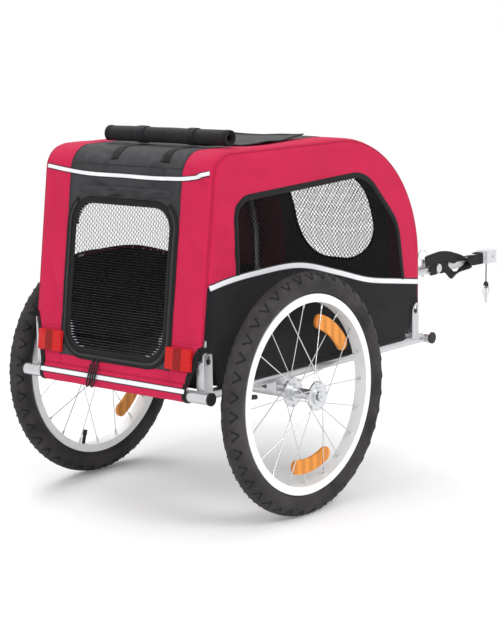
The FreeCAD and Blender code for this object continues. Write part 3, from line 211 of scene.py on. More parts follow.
class Finish(Nodes):
    """A material under construction."""

    def __init__(self, name, fixed):
        self.material = bpy.data.materials.new(name)
        self.material.use_nodes = True
        super().__init__(self.material.node_tree)
        self.shader = self.tree.nodes["Principled BSDF"]
        for key, value in fixed.items():
            self.shader.inputs[key].default_value = value

    def place(self, pattern=False):
        """The point on the piece: its pattern in metres, or its place in the frame."""
        if pattern:
            return self.node("ShaderNodeUVMap", {"uv_map": "Pattern"}, {})
        return self.node("ShaderNodeTexCoord", {}, {}, "Object")

    def parts(self, vector):
        """The three numbers of a vector."""
        return [self.node("ShaderNodeSeparateXYZ", {}, {0: vector}, axis) for axis in range(3)]

    def stretched(self, vector, *scale):
        """The vector scaled along its axes, for a pattern longer one way than another."""
        return self.node("ShaderNodeMapping", {}, {"Vector": vector, "Scale": scale})

    def noise(self, vector, scale, detail=3.0, rough=0.55):
        return self.node("ShaderNodeTexNoise", {}, {"Vector": vector, "Scale": scale, "Detail": detail,
                                                    "Roughness": rough})

    def spread(self, value, low, high, to_low=0.0, to_high=1.0):
        """The value between two limits, spread over another range."""
        return self.node("ShaderNodeMapRange", {}, {"Value": value, "From Min": low, "From Max": high,
                                                    "To Min": to_low, "To Max": to_high})

    def mix(self, factor, first, second):
        return self.node("ShaderNodeMix", {"data_type": "RGBA"}, {"Factor": factor, 6: first, 7: second}, 2)

    def tones(self, factor, base, dark, light):
        """A base colour that varies between a darker and a lighter tone."""
        return self.mix(factor, shade(tint(base), dark), shade(tint(base), light))

    def bump(self, height, distance, strength=1.0):
        made = self.node("ShaderNodeBump", {}, {"Height": height, "Distance": distance, "Strength": strength})
        self.join(self.shader.inputs["Normal"], made)

    def set(self, **inputs):
        for key, value in inputs.items():
            self.join(self.shader.inputs[key.replace("_", " ").title()], value)
        return self.material


def shade(base, factor):
    """A colour made darker or lighter."""
    return tuple(min(1.0, part * factor) for part in base[:3]) + (1.0,)


MADE = {}


def finish(name):
    """The finish of that name, made once."""
    if name not in MADE:
        make, *settings = FINISHES[name]
        MADE[name] = make(name, *settings)
    return MADE[name]


def woven(name, base, pitch, dark, light, rough, sheen, creased=0.25):
    """Coated plain-weave cloth with faint mottling and slubs along its threads."""
    f = Finish(name, {"Sheen Weight": sheen, "Sheen Roughness": 0.45, "Specular IOR Level": 0.12})
    where = f.place(True)
    along, across, _ = f.parts(where)
    weave = along.wave(pitch) * across.wave(pitch)
    cloud = f.noise(where, 9.0, 4.0)
    slub = f.noise(f.stretched(where, 40, 700, 1), 1.0, 2.0)
    grain = f.noise(where, 420.0, 2.0)
    body = f.spread(cloud, 0.3, 0.7) * 0.5 + slub * 0.3 + grain * 0.2 + weave * 0.05
    pull = f.noise(f.stretched(where, 6, 15, 1), 1.0, 3.0, 0.6)
    crush = (pull - 0.5).math("ABSOLUTE")
    f.bump(weave * 0.02 + grain * 0.016 + slub * 0.014 + crush * creased, 0.012, 0.7)
    return f.set(base_color=f.tones(body, base, dark, light),
                 roughness=f.spread(grain, 0.2, 0.8, rough - 0.08, rough + 0.08))


def sewn_tape(name, base, rib):
    """Ribbed tape with a row of stitches near each edge; the pattern runs along and across it."""
    f = Finish(name, {"Sheen Weight": 0.04, "Specular IOR Level": 0.14})
    along, across, _ = f.parts(f.place(True))
    ribs = along.wave(rib)
    near = (across - 0.5).math("ABSOLUTE")
    row = (near - 0.36).math("ABSOLUTE").math("LESS_THAN", 0.03)
    dash = along.wave(0.0042).math("GREATER_THAN", -0.35)
    stitch = row * dash
    dust = f.noise(f.place(), 60.0)
    f.bump(ribs * 0.4 + stitch * 1.4 + dust * 0.3, 0.0005, 0.8)
    worn = f.tones(dust, base, 0.7, 1.7)
    return f.set(base_color=f.mix(stitch, worn, shade(tint(base), 3.2)),
                 roughness=f.spread(dust, 0, 1, 0.62, 0.85))


def reflective(name):
    """Reflective tape: bright middle of glass beads, dark edges and a row of stitches near each."""
    f = Finish(name, {"Specular IOR Level": 0.5})
    where = f.place(True)
    along, across, _ = f.parts(where)
    near = (across - 0.5).math("ABSOLUTE")
    edge = f.spread(near, 0.325, 0.35)
    beads = f.node("ShaderNodeTexVoronoi", {}, {"Vector": f.place(), "Scale": 900.0})
    soil = f.noise(f.place(), 26.0)
    dash = along.wave(0.0045).math("GREATER_THAN", -0.3)
    stitch = (near - 0.27).math("ABSOLUTE").math("LESS_THAN", 0.018) * dash
    bright = f.tones(soil, "strip", 0.9, 1.06)
    bright = f.mix(stitch * 0.5, bright, shade(tint("strip"), 0.62))
    f.bump(beads * 0.3 + stitch * 0.8, 0.0003, 0.5)
    return f.set(base_color=f.mix(edge, bright, shade(tint("tape"), 1.6)),
                 roughness=f.spread(edge, 0, 1, 0.34, 0.8))


def rubber(name):
    """Moulded tyre rubber with a dusty bloom and a fine grain."""
    f = Finish(name, {"Specular IOR Level": 0.16})
    where = f.place()
    bloom = f.noise(where, 16.0, 5.0)
    grain = f.noise(where, 700.0, 2.0)
    f.bump(grain * 0.6 + bloom * 0.4, 0.0004, 0.6)
    return f.set(base_color=f.tones(f.spread(bloom, 0.35, 0.7), "rubber", 0.7, 1.9),
                 roughness=f.spread(bloom, 0.3, 0.7, 0.5, 0.72))


def plated(name, base, rough, metal, grain_scale, contrast):
    """Metal with fine grain, faint clouding and dulled patches."""
    f = Finish(name, {})
    where = f.place()
    cloud = f.noise(where, 30.0, 4.0)
    grain = f.noise(f.stretched(where, 1, 6, 1), grain_scale, 2.0)
    f.bump(grain, 0.0002, 0.25)
    return f.set(base_color=f.tones(cloud, base, 1 - contrast, 1 + contrast),
                 metallic=f.spread(cloud, 0.3, 0.7, metal, min(1.0, metal + 0.05)),
                 roughness=f.spread(grain + cloud * 0.5, 0.4, 1.1, rough - 0.06, rough + 0.1))


def moulded(name, base, rough):
    """Moulded plastic with a fine leather-like grain and rubbed patches."""
    f = Finish(name, {"Specular IOR Level": 0.25})
    where = f.place()
    grain = f.node("ShaderNodeTexVoronoi", {}, {"Vector": where, "Scale": 1100.0})
    rubbed = f.noise(where, 45.0)
    f.bump(grain, 0.0003, 0.4)
    return f.set(base_color=f.tones(rubbed, base, 0.75, 1.7),
                 roughness=f.spread(rubbed, 0.3, 0.7, rough - 0.07, rough + 0.1))


def prismatic(name, base, pitch, facet, glow):
    """Reflector plastic: rows of small corner prisms behind a clear coat, light and dark by turns."""
    f = Finish(name, {"Coat Roughness": 0.04, "Specular IOR Level": 0.25})
    across, deep, up = f.parts(f.place())
    slant = across * 0.7 + deep * 0.7
    prisms = slant.wave(pitch) * up.wave(pitch)
    columns = f.spread(slant.wave(facet), -0.6, 0.6)
    speck = f.noise(f.place(), 180.0)
    body = columns * 0.45 + f.spread(prisms, -1, 1) * 0.35 + speck * 0.2
    f.bump(prisms, 0.0005, 0.6)
    return f.set(base_color=f.tones(body, base, 0.62, glow),
                 roughness=f.spread(speck, 0, 1, 0.12, 0.3), coat_weight=f.spread(speck, 0, 1, 0.15, 0.3))


def facets(name):
    """Rear reflector: three upright facets of small prisms, the middle one darker, under a clear coat."""
    f = Finish(name, {"Coat Roughness": 0.05, "Specular IOR Level": 0.12})
    _, across, up = f.parts(f.place())
    near = (across.math("ABSOLUTE") - 0.182).math("ABSOLUTE")
    middle = near.math("LESS_THAN", 0.011)
    prisms = across.wave(0.0030) * up.wave(0.0030)
    ribs = up.wave(0.0052)
    speck = f.noise(f.place(), 160.0)
    body = (1.0 - middle) * 0.55 + f.spread(prisms, -1, 1) * 0.25 + f.spread(ribs, -1, 1) * 0.1 + speck * 0.1
    f.bump(prisms, 0.0005, 0.6)
    return f.set(base_color=f.tones(body, "lens", 0.3, 1.45),
                 roughness=f.spread(speck, 0, 1, 0.2, 0.36), coat_weight=f.spread(speck, 0, 1, 0.03, 0.1))


def webbing(name):
    """Black webbing with a herringbone weave along its pattern."""
    f = Finish(name, {"Sheen Weight": 0.05, "Specular IOR Level": 0.16})
    where = f.place(True)
    along, across, _ = f.parts(where)
    fold = (across * 6.0).math("PINGPONG", 1.0) * 0.004
    chevron = (along + fold).wave(0.0024)
    dust = f.noise(f.place(), 70.0)
    f.bump(chevron + dust * 0.3, 0.0004, 0.9)
    body = f.spread(chevron, -1, 1) * 0.6 + dust * 0.4
    return f.set(base_color=f.tones(body, "tape", 0.6, 2.1),
                 roughness=f.spread(dust, 0, 1, 0.6, 0.85))


def zip_coil(name):
    """Nylon zip: a fine coil between two tapes."""
    f = Finish(name, {"Specular IOR Level": 0.5})
    along, across, _ = f.parts(f.place(True))
    near = (across - 0.5).math("ABSOLUTE")
    coil = near.math("LESS_THAN", 0.22)
    teeth = along.wave(0.0026) * coil
    dust = f.noise(f.place(), 90.0)
    f.bump(teeth + dust * 0.2, 0.0008, 1.0)
    return f.set(base_color=f.tones(coil * 0.6 + dust * 0.3, "tape", 0.8, 2.4),
                 roughness=f.spread(coil, 0, 1, 0.75, 0.38))


FINISHES = {
    "red_cloth": (woven, "red", 0.0011, 0.86, 1.1, 0.72, 0.02, 0.6),
    # The centre black cloth has painted light in its lighter base, and the lower side cloth has painted shade
    # in its darker base; both stand for one black cloth.
    "black_cloth": (woven, "black", 0.0011, 0.6, 1.6, 0.6, 0.05, 1.0),
    "lower_cloth": (woven, "dark", 0.0011, 0.7, 1.4, 0.66, 0.04),
    "roll_cloth": (woven, "dark", 0.0011, 0.9, 1.9, 0.55, 0.06),
    "binding_tape": (sewn_tape, "tape", 0.0016),
    "reflective_tape": (reflective,),
    "net_cord": (moulded, "mesh", 0.6),
    "door_thread": (moulded, "screen", 0.5),
    "lining": (woven, "lining", 0.0011, 0.7, 1.3, 0.8, 0.0),
    # Chevron bars take a darker black than the tyre rubber: painted shade standing in for the shade in the
    # grooves.
    "tread_groove": (moulded, "tape", 0.7),
    "tyre_rubber": (rubber,),
    "rim_metal": (plated, "rim", 0.4, 0.05, 300.0, 0.05),
    "spoke_metal": (plated, "steel", 0.24, 0.9, 500.0, 0.08),
    "hub_metal": (plated, "steel", 0.3, 0.85, 260.0, 0.12),
    "bright_steel": (plated, "steel", 0.27, 0.9, 400.0, 0.1),
    "frame_paint": (plated, "paint", 0.3, 0.8, 350.0, 0.08),
    "pale_alloy": (plated, "steel", 0.42, 0.3, 350.0, 0.06),
    "black_plastic": (moulded, "plastic", 0.42),
    "floor_board": (woven, "dark", 0.0016, 0.7, 1.3, 0.8, 0.05),
    "amber_lens": (prismatic, "amber", 0.0026, 0.018, 1.25),
    "red_lens": (facets,),
    "lens_back": (moulded, "lens", 0.5),
    "strap_webbing": (webbing,),
    "zip_coil": (zip_coil,),
}


# Patterns and surfaces
def unit(number):
    return number / abs(number)


class Line:
    """A line through corners (across, up, radius) in millimetres, rounded there, as complex points."""

    def __init__(self, corners, closed=False, step=3.0):
        knots = []
        for index, (across, up, radius) in enumerate(corners):
            here = complex(across, up)
            if not radius:
                knots.append(here)
                continue
            before = unit(complex(*corners[index - 1][:2]) - here)
            after = unit(complex(*corners[(index + 1) % len(corners)][:2]) - here)
            half = abs(cmath.phase(after / before)) / 2
            centre = here + unit(before + after) * radius / math.sin(half)
            first = here + before * radius / math.tan(half) - centre
            swing = cmath.phase((here + after * radius / math.tan(half) - centre) / first)
            count = max(2, round(abs(swing) * radius / step))
            knots += [centre + first * cmath.exp(1j * swing * turn / count) for turn in range(count + 1)]
        if closed:
            knots.append(knots[0])
        points = knots[:1]
        for start, end in zip(knots, knots[1:]):
            count = max(1, round(abs(end - start) / step))
            points += [start + (end - start) * turn / count for turn in range(1, count + 1)]
        self.take(points, closed)

    @classmethod
    def through(cls, points, closed=False):
        """The line through points that already lie close together."""
        made = cls.__new__(cls)
        made.take(points, closed)
        return made

    def take(self, points, closed):
        self.points = np.array(points)
        self.closed = closed
        self.run = np.concatenate([[0.0], np.cumsum(np.abs(np.diff(self.points)))])
        self.total = float(self.run[-1])

    def mapped(self, change):
        """The same line with its points moved by a function."""
        return Line.through(change(self.points), self.closed)

    def at(self, run):
        run = np.mod(run, self.total) if self.closed else np.clip(run, 0, self.total)
        return np.interp(run, self.run, self.points.real) + 1j * np.interp(run, self.run, self.points.imag)

    def way(self, run):
        """Direction of the line at a run."""
        run = run if self.closed else np.clip(run, 1.5, self.total - 1.5)
        step = self.at(run + 1.5) - self.at(run - 1.5)
        return step / np.maximum(np.abs(step), 1e-9)

    def nearest(self, points):
        """Distance to the line and the nearest spot on it, for each point."""
        far = np.full(len(points), 1e9)
        spot = np.zeros(len(points), complex)
        for start, along in zip(self.points[:-1], np.diff(self.points)):
            reach = points - start
            share = np.clip((reach * np.conj(along)).real / max(abs(along) ** 2, 1e-12), 0, 1)
            there = start + share * along
            gap = np.abs(points - there)
            closer = gap < far
            far[closer], spot[closer] = gap[closer], there[closer]
        return far, spot

    def holds(self, points):
        """True for each point inside the closed line."""
        inside = np.zeros(len(points), bool)
        ring = np.append(self.points, self.points[0])
        for start, end in zip(ring, ring[1:]):
            if start.imag == end.imag:
                continue
            between = (start.imag > points.imag) != (end.imag > points.imag)
            cross = start.real + (points.imag - start.imag) * (end - start).real / (end - start).imag
            inside ^= between & (points.real < cross)
        return inside


def straight(start, stop, aside):
    """A straight line at one distance aside."""
    return Line(((start, aside, 0), (stop, aside, 0)))


def smooth(points, step=4.0):
    """A soft line through a few points."""
    knots = np.array([complex(*point) for point in points])
    run = np.concatenate([[0.0], np.cumsum(np.abs(np.diff(knots)))])
    slope = np.gradient(knots, run)
    fine = np.linspace(0, run[-1], max(8, int(run[-1] / step)))
    index = np.clip(np.searchsorted(run, fine, "right") - 1, 0, len(run) - 2)
    gap = run[index + 1] - run[index]
    share = (fine - run[index]) / gap
    lead, trail = slope[index] * gap, slope[index + 1] * gap
    ease = 3 * share ** 2 - 2 * share ** 3
    bend = (share ** 3 - 2 * share ** 2 + share) * lead + (share ** 3 - share ** 2) * trail
    return Line.through((1 - ease) * knots[index] + ease * knots[index + 1] + bend)


profile = Line(PROFILE)
wave_line = smooth(WAVE)
door_line = Line(DOOR, True)
doorway = Line(DOORWAY, True)
front_net_line = Line(FRONT_NET, True)

# A side window has a rounded top and a foot that follows the wave.
window_top = Line(WINDOW)
window_foot = smooth((WINDOW[-1][:2], *WINDOW_FOOT, WINDOW[0][:2]))
window_line = Line.through(np.concatenate([window_top.points, window_foot.points[1:]]), True)


def spot(x, y, z):
    """Points of the shared frame in metres, from millimetres ahead of the axle, left and up."""
    return np.stack([np.asarray(x) / 1000 + AXLE_X, np.asarray(y) / 1000, np.asarray(z) / 1000], -1)


def ripple(points, size, seed):
    """Soft uneven rise and fall between -1 and 1."""
    return np.array([noise.noise(Vector((p.real / size, p.imag / size, seed))) for p in points])


def crease(points, start, end, width, rise):
    """A fold along a straight run, tapering at both ends."""
    along = end - start
    share = ((points - start) * np.conj(along)).real / abs(along) ** 2
    aside = ((points - start) * np.conj(along)).imag / abs(along)
    taper = np.where((share > 0) & (share < 1), np.sin(np.pi * np.clip(share, 0, 1)) ** 0.7, 0)
    return rise * taper * np.exp(-(aside / width) ** 2)


# Run along the profile by height: up the rear to its top, and from the roof down to the end of the front.
REAR_TOP, ROOF_Z = 745, 761.9
REAR_HEIGHTS = profile.points.imag[: int(np.argmax(profile.points.imag > REAR_TOP))]
REAR_RUNS = profile.run[: len(REAR_HEIGHTS)]
FRONT_START = int(np.argmax(profile.points.imag > ROOF_Z))
FRONT_HEIGHTS, FRONT_RUNS = profile.points.imag[FRONT_START:][::-1], profile.run[FRONT_START:][::-1]


def run_at(x):
    """Run along the profile where it has come a distance ahead of the axle."""
    return float(profile.run[int(np.argmax(profile.points.real > x))])


# How far the cloth lies inside the profile and the cabin's half width, in millimetres.
SUNK = 0.6

# Directions of the rear cloth, out of it and up it.
REAR_OUT, REAR_UP = Vector((-0.9914, 0, 0.1313)), Vector((0.1313, 0, 0.9914))

# Folds in the cloth of the centre band, as run along the profile and distance from the middle plane.
BAND_FOLDS = (
    (372 - 120j, 408 - 20j, 7, 4.8), (366 - 10j, 400 + 96j, 8, -4.5), (396 - 100j, 372 + 30j, 6, -3.9),
    (388 + 20j, 412 + 120j, 6, 3.6), (430 - 140j, 470 - 60j, 9, -4.5), (445 + 30j, 480 + 120j, 9, -3.6),
    (414 - 62j, 456 - 78j, 6, 4.2), (410 + 64j, 452 + 48j, 6, -4.6), (412 - 12j, 444 + 6j, 5, 3.6),
    (418 + 98j, 452 + 120j, 6, 4.2), (408 - 112j, 440 - 92j, 6, -4.4),
    (52 - 212j, 190 - 172j, 12, -3.9), (110 + 168j, 260 + 214j, 12, -4.5), (20 - 150j, 60 + 30j, 9, -2.1),
    (210 - 225j, 330 - 170j, 13, -3.6), (300 + 172j, 420 + 216j, 10, -3.3), (395 - 226j, 440 - 160j, 7, -5.1),
    (410 - 222j, 462 - 172j, 5, 3.3), (560 - 90j, 760 - 60j, 26, -4.5), (600 + 70j, 880 + 40j, 30, -5.1),
)
# Folds in the sides, as distance ahead of the axle and height.
SIDE_FOLDS = (
    (-190 + 690j, -118 + 640j, 9, -3.9), (-196 + 560j, -128 + 556j, 8, -3.0),
    (-150 + 716j, -20 + 700j, 10, -3.6), (60 + 742j, 330 + 716j, 12, -3.3),
    (380 + 690j, 440 + 620j, 10, -3.0), (-205 + 640j, -140 + 600j, 7, 2.4), (470 + 560j, 500 + 440j, 9, -2.7),
)


def band_place(points, lift=0.0):
    """Surface of the rear, roof and front, from run along the profile and distance from the middle plane."""
    size = sizes()
    half, edge = size.cover_half * 1000, size.edge_round * 1000
    run, aside = points.real, points.imag
    base, out = profile.at(run), profile.way(run) * 1j
    over = np.maximum(np.abs(aside) - (half - edge), 0) / edge
    side = np.sign(aside) * (np.minimum(np.abs(aside), half - edge) + edge * np.sin(over))
    belly = np.sin(math.pi * np.clip((np.abs(aside) - size.band_half * 1000) / 76, 0, 1))
    rise = 1.2 * ripple(points, 70, 3.0) + 0.5 * ripple(points, 26, 7.0)
    rise = rise + belly * (3 * ripple(points, 120, 1.0) + 1.0)
    for start, end, width, height in BAND_FOLDS:
        rise = rise + crease(points, start, end, width, height)
    rise = rise * np.clip((np.abs(np.abs(aside) - half) - 6) / 20, 0, 1) * np.clip(run / 25, 0, 1)
    rise = rise - SUNK + lift
    base = base + out * (rise * np.cos(over) - edge * (1 - np.cos(over)))
    return spot(base.real, side + np.sign(aside) * rise * np.sin(over), base.imag)


def rear_runs(points):
    """Points of the rear, distance from the middle plane and height, as points of the band."""
    return np.interp(points.imag, REAR_HEIGHTS, REAR_RUNS) + 1j * points.real


def front_runs(points):
    """Points of the front, distance from the middle plane and height, as points of the band."""
    return np.interp(points.imag, FRONT_HEIGHTS, FRONT_RUNS) + 1j * points.real


def rear_place(points, lift=0.0):
    return band_place(rear_runs(points), lift)


def front_place(points, lift=0.0):
    return band_place(front_runs(points), lift)


def side_place(sign):
    """Surface of one side: points are distance ahead of the axle and height."""
    def place(points, lift=0.0):
        size = sizes()
        half, edge = size.cover_half * 1000, size.edge_round * 1000
        depth = np.minimum(profile.nearest(points)[0], edge)
        drop = edge - np.sqrt(np.maximum(edge ** 2 - (edge - depth) ** 2, 0))
        rise = 1.0 * ripple(points, 85, 5.0 + sign)
        for start, end, width, height in SIDE_FOLDS:
            rise = rise + crease(points, start, end, width, height)
        rise = rise * np.clip((depth - 6) / 12, 0, 1) * np.clip((points.imag - 298) / 30, 0, 1) - SUNK
        return spot(points.real, sign * (half - drop + rise + lift), points.imag)
    return place


# Making pieces
def settle(mesh, away):
    """Turns an open sheet so that its faces look away from a point."""
    total = sum((f.normal.dot(f.calc_center_median() - away) * f.calc_area() for f in mesh.faces), 0.0)
    if total < 0:
        bmesh.ops.reverse_faces(mesh, faces=mesh.faces)


# Points that cloth looks away from: inside the cabin, and under the floor.
HEART, BELOW = Vector((AXLE_X + 0.12, 0.0, 0.53)), Vector((AXLE_X, 0, -1))


def pattern(mesh, flat):
    """Keeps the flat place of each vertex as the piece's own map."""
    layer = mesh.loops.layers.uv.new("Pattern")
    for face in mesh.faces:
        for loop in face.loops:
            loop[layer].uv = flat(loop.vert)


def lay(mesh, flat, place, lift, away=HEART):
    """Puts every vertex where its flat pattern lands, and keeps the pattern as the piece's own map."""
    verts = list(mesh.verts)
    points = np.array([flat[v] for v in verts])
    pattern(mesh, lambda vert: (flat[vert].real / 1000, flat[vert].imag / 1000))
    for vert, where in zip(verts, place(points, lift)):
        vert.co = where
    mesh.normal_update()
    settle(mesh, away)
    return mesh


def cloth(box, cell, place, keep=None, edges=(), lift=0.0, turn=0.0, away=HEART):
    """Cloth cut from a flat grid, its rim drawn onto the edge lines, laid on a surface."""
    (left, right), (low, high) = box
    across, up = (cell, cell) if isinstance(cell, (int, float)) else cell
    mesh = bmesh.new()
    bmesh.ops.create_grid(mesh, x_segments=max(1, round((right - left) / across)),
                          y_segments=max(1, round((high - low) / up)), size=0.5)
    middle = complex(left + right, low + high) / 2
    spin = cmath.exp(1j * math.radians(turn))
    flat = {v: middle + complex(v.co.x * (right - left), v.co.y * (high - low)) * spin for v in mesh.verts}
    if keep is not None:
        faces = list(mesh.faces)
        centres = np.array([sum(flat[v] for v in f.verts) / len(f.verts) for f in faces])
        bmesh.ops.delete(mesh, geom=[f for f, good in zip(faces, keep(centres)) if not good], context="FACES")
    rim = [v for v in mesh.verts if v.is_boundary]
    points = np.array([flat[v] for v in rim])
    best = np.full(len(rim), 1.3 * max(across, up))
    drawn = set()
    for line in edges:
        far, there = line.nearest(points)
        for index in np.nonzero(far < best)[0]:
            flat[rim[index]] = complex(there[index])
            best[index] = far[index]
            drawn.add(rim[index])
    ring = {e.other_vert(v) for v in drawn for e in v.link_edges} - set(rim)
    for vert in ring:
        flat[vert] = sum(flat[e.other_vert(vert)] for e in vert.link_edges) / len(vert.link_edges)
    return lay(mesh, flat, place, lift, away)


def tape(line, width, place, lift=1.0, crown=0.9, start=0.0, stop=None, away=HEART, across=6, step=5.0):
    """Sewn tape along a line on a surface, crowned over its width; its pattern runs along and across it."""
    stop = line.total if stop is None else stop
    mesh = bmesh.new()
    bmesh.ops.create_grid(mesh, x_segments=max(2, int((stop - start) / step)), y_segments=across, size=0.5)
    verts = list(mesh.verts)
    run = start + (np.array([v.co.x for v in verts]) + 0.5) * (stop - start)
    aside = np.array([v.co.y for v in verts])
    flat = dict(zip(verts, zip(run / 1000, aside + 0.5)))
    pattern(mesh, flat.get)
    points = line.at(run) + line.way(run) * 1j * aside * width
    for vert, where in zip(verts, place(points, lift + crown * (1 - 4 * aside ** 2))):
        vert.co = where
    if line.closed and stop == line.total and start == 0:
        bmesh.ops.remove_doubles(mesh, verts=mesh.verts, dist=0.00002)
    mesh.normal_update()
    settle(mesh, away)
    return mesh


def rod(line, radius, origin, across, up, around=8, step=3.0):
    """Round cord or wire along a flat line laid in a plane of the shared frame."""
    mesh = bmesh.new()
    bmesh.ops.create_grid(mesh, x_segments=max(3, int(line.total / step)), y_segments=around, size=0.5)
    across, up = Vector(across).normalized(), Vector(up).normalized()
    out = across.cross(up)
    pattern(mesh, lambda vert: ((vert.co.x + 0.5) * line.total / 1000, vert.co.y + 0.5))
    for vert in mesh.verts:
        run = (vert.co.x + 0.5) * line.total
        angle = (vert.co.y + 0.5) * 2 * math.pi
        point = complex(line.at(run)) + complex(line.way(run)) * 1j * radius * math.cos(angle)
        vert.co = origin + (across * point.real + up * point.imag + out * radius * math.sin(angle)) / 1000
    bmesh.ops.remove_doubles(mesh, verts=mesh.verts, dist=0.00001)
    bmesh.ops.holes_fill(mesh, edges=[e for e in mesh.edges if e.is_boundary], sides=around + 2)
    bmesh.ops.recalc_face_normals(mesh, faces=mesh.faces)
    return mesh


def block(mesh, long, wide, tall, matrix, bevel=0.0):
    """Adds a block in millimetres with rounded edges to a mesh."""
    made = bmesh.ops.create_cube(mesh, size=1.0)["verts"]
    bmesh.ops.scale(mesh, vec=(long / 1000, wide / 1000, tall / 1000), verts=made)
    if bevel:
        edges = list({e for v in made for e in v.link_edges})
        made = bmesh.ops.bevel(mesh, geom=edges, offset=bevel / 1000, affect="EDGES", segments=2, profile=0.5,
                               material=-1, clamp_overlap=True)["verts"]
    made = list({v for v in made if v.is_valid})
    linked = set(made)
    for vert in made:
        linked |= {e.other_vert(vert) for e in vert.link_edges}
    bmesh.ops.transform(mesh, matrix=matrix, verts=list(linked))
    return mesh


def piece(name, mesh, look, body="base", slot=None, stands_for=(), thick=None, inward=True):
    """Makes the object of a mesh, gives it its finish, and lets it ride on its body."""
    data = bpy.data.meshes.new(name)
    mesh.to_mesh(data)
    mesh.free()
    data.shade_smooth()
    obj = bpy.data.objects.new(name, data)
    bpy.context.scene.collection.objects.link(obj)
    data.materials.append(finish(look))
    if thick:
        if look == "red_cloth":
            data.materials.append(finish("lining"))
        wall = obj.modifiers.new("Cloth", "SOLIDIFY")
        wall.material_offset = 1 if look == "red_cloth" else 0
        wall.thickness = thick
        wall.offset = -1 if inward else 0
    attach(obj, body)
    if stands_for:
        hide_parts(*stands_for)
    return obj


def panel(name, mesh, look, *stands_for):
    """A panel of coated cloth, red or black."""
    slot = "red_cloth" if look == "red_cloth" else "black_cloth"
    return piece(name, mesh, look, slot=slot, stands_for=stands_for, thick=sizes().cloth)


# Thickness of sewn tapes, in metres.
TAPE, THIN_TAPE, REFLECTIVE = 0.0012, 0.001, 0.0008


def bind(name, line, width, place, lift, crown, body="base", thick=TAPE, away=HEART, look="binding_tape"):
    """Black tape sewn along a line on a surface."""
    mesh = tape(line, width, place, lift, crown, away=away)
    return piece(name, mesh, look, body, "black_cloth", thick=thick)


def reflect(name, mesh, stands_for=()):
    """Reflective tape of a mesh."""
    return piece(name, mesh, "reflective_tape", slot="reflective_cloth", stands_for=stands_for,
                 thick=REFLECTIVE)


def diamond_net(name, line, box, place, stands_for=()):
    """Net with its cords at 45 degrees, inside a closed line."""
    mesh = cloth(box, sizes().window_pitch * 1000, place, line.holds, (line,), -SUNK, 45)
    return knit(piece(name, mesh, "net_cord", slot="net_cloth", stands_for=stands_for))


def axes(first, second, third, origin):
    """Matrix that turns a mesh along three directions and moves it to an origin."""
    return Matrix.Translation(origin) @ Matrix((first, second, third)).transposed().to_4x4()


def everything(mesh):
    return mesh.verts[:] + mesh.edges[:] + mesh.faces[:]


# Cloth below this height stands clear of the folded hoops and keeps its shape.
FOLD_Z = 0.385
FEET = {}


def foot_of(obj):
    """Splits off the part of a piece below the fold height, as a piece of its own on the same body."""
    foot = obj.copy()
    foot.data = obj.data.copy()
    foot.name = foot.data.name = obj.name + "_foot"
    bpy.context.scene.collection.objects.link(foot)
    for one, below in ((obj, False), (foot, True)):
        mesh = bmesh.new()
        mesh.from_mesh(one.data)
        bmesh.ops.bisect_plane(mesh, geom=everything(mesh), plane_co=(0, 0, FOLD_Z), plane_no=(0, 0, 1),
                               clear_outer=below, clear_inner=not below)
        mesh.to_mesh(one.data)
        mesh.free()
    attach(foot, obj["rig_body"])
    return foot


def crumple(*pieces, keep=0.15):
    """Splits off the foot below the fold height of each piece that reaches above it, and gives the piece a mesh
    of its own; the left hoop is the last to fold.
    """
    for obj in pieces:
        heights = [v.co.z for v in obj.data.vertices]
        if max(heights) < FOLD_Z + 0.012:
            continue
        if min(heights) < FOLD_Z - 0.004:
            FEET[obj.name] = foot_of(obj)
        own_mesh(obj)


def cut_sheet(obj, with_pieces=()):
    """Sums the flat area of a piece of cloth from its pattern, and gathers the feet split off it and its other
    pieces.
    """
    layer = obj.data.uv_layers["Pattern"].data
    area = 0.0
    spots = [complex(*loop.uv) for loop in layer]
    for face in obj.data.polygons:
        ring = [spots[index] for index in face.loop_indices]
        area += abs(sum((a.conjugate() * b).imag for a, b in zip(ring, ring[1:] + ring[:1]))) / 2
    more = [FEET[one.name] for one in (obj, *with_pieces) if one.name in FEET]


def knit(obj):
    """Turns a grid into a net of round cords."""
    cords = obj.modifiers.new("Cords", "WIREFRAME")
    cords.thickness = sizes().net_cord
    cords.use_even_offset = False
    cords.use_boundary = True
    cords.use_replace = True
    return obj


def corner_of(side, end):
    """Closed region of a side that is left open round a bracket, in the side view."""
    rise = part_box("%s_%s_bracket" % (side, end))[1].z * 1000 + 9
    if end == "rear":
        return Line(((-300, 280, 0), (-300, rise, 0), (-206, rise, 26), (-197, 280, 0)), True)
    return Line(((560, 280, 0), (560, rise, 0), (475, rise, 26), (466, 280, 0)), True)


def rear_corner(side, sign):
    """Closed region of the band that is left open round a rear bracket."""
    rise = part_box("%s_rear_bracket" % side)[1].z * 1000 + 9
    corner = Line(((206, 280, 0), (206, 312, 24), (230, rise, 30), (262, rise + 12, 0), (300, 280, 0)), True)
    return corner.mapped(lambda p: rear_runs(sign * p.real + 1j * p.imag))


WHITE = (1, 1, 1, 1)


class TrailerOperator:
    """What the trailer's operators share."""

    bl_options = {"REGISTER", "UNDO"}


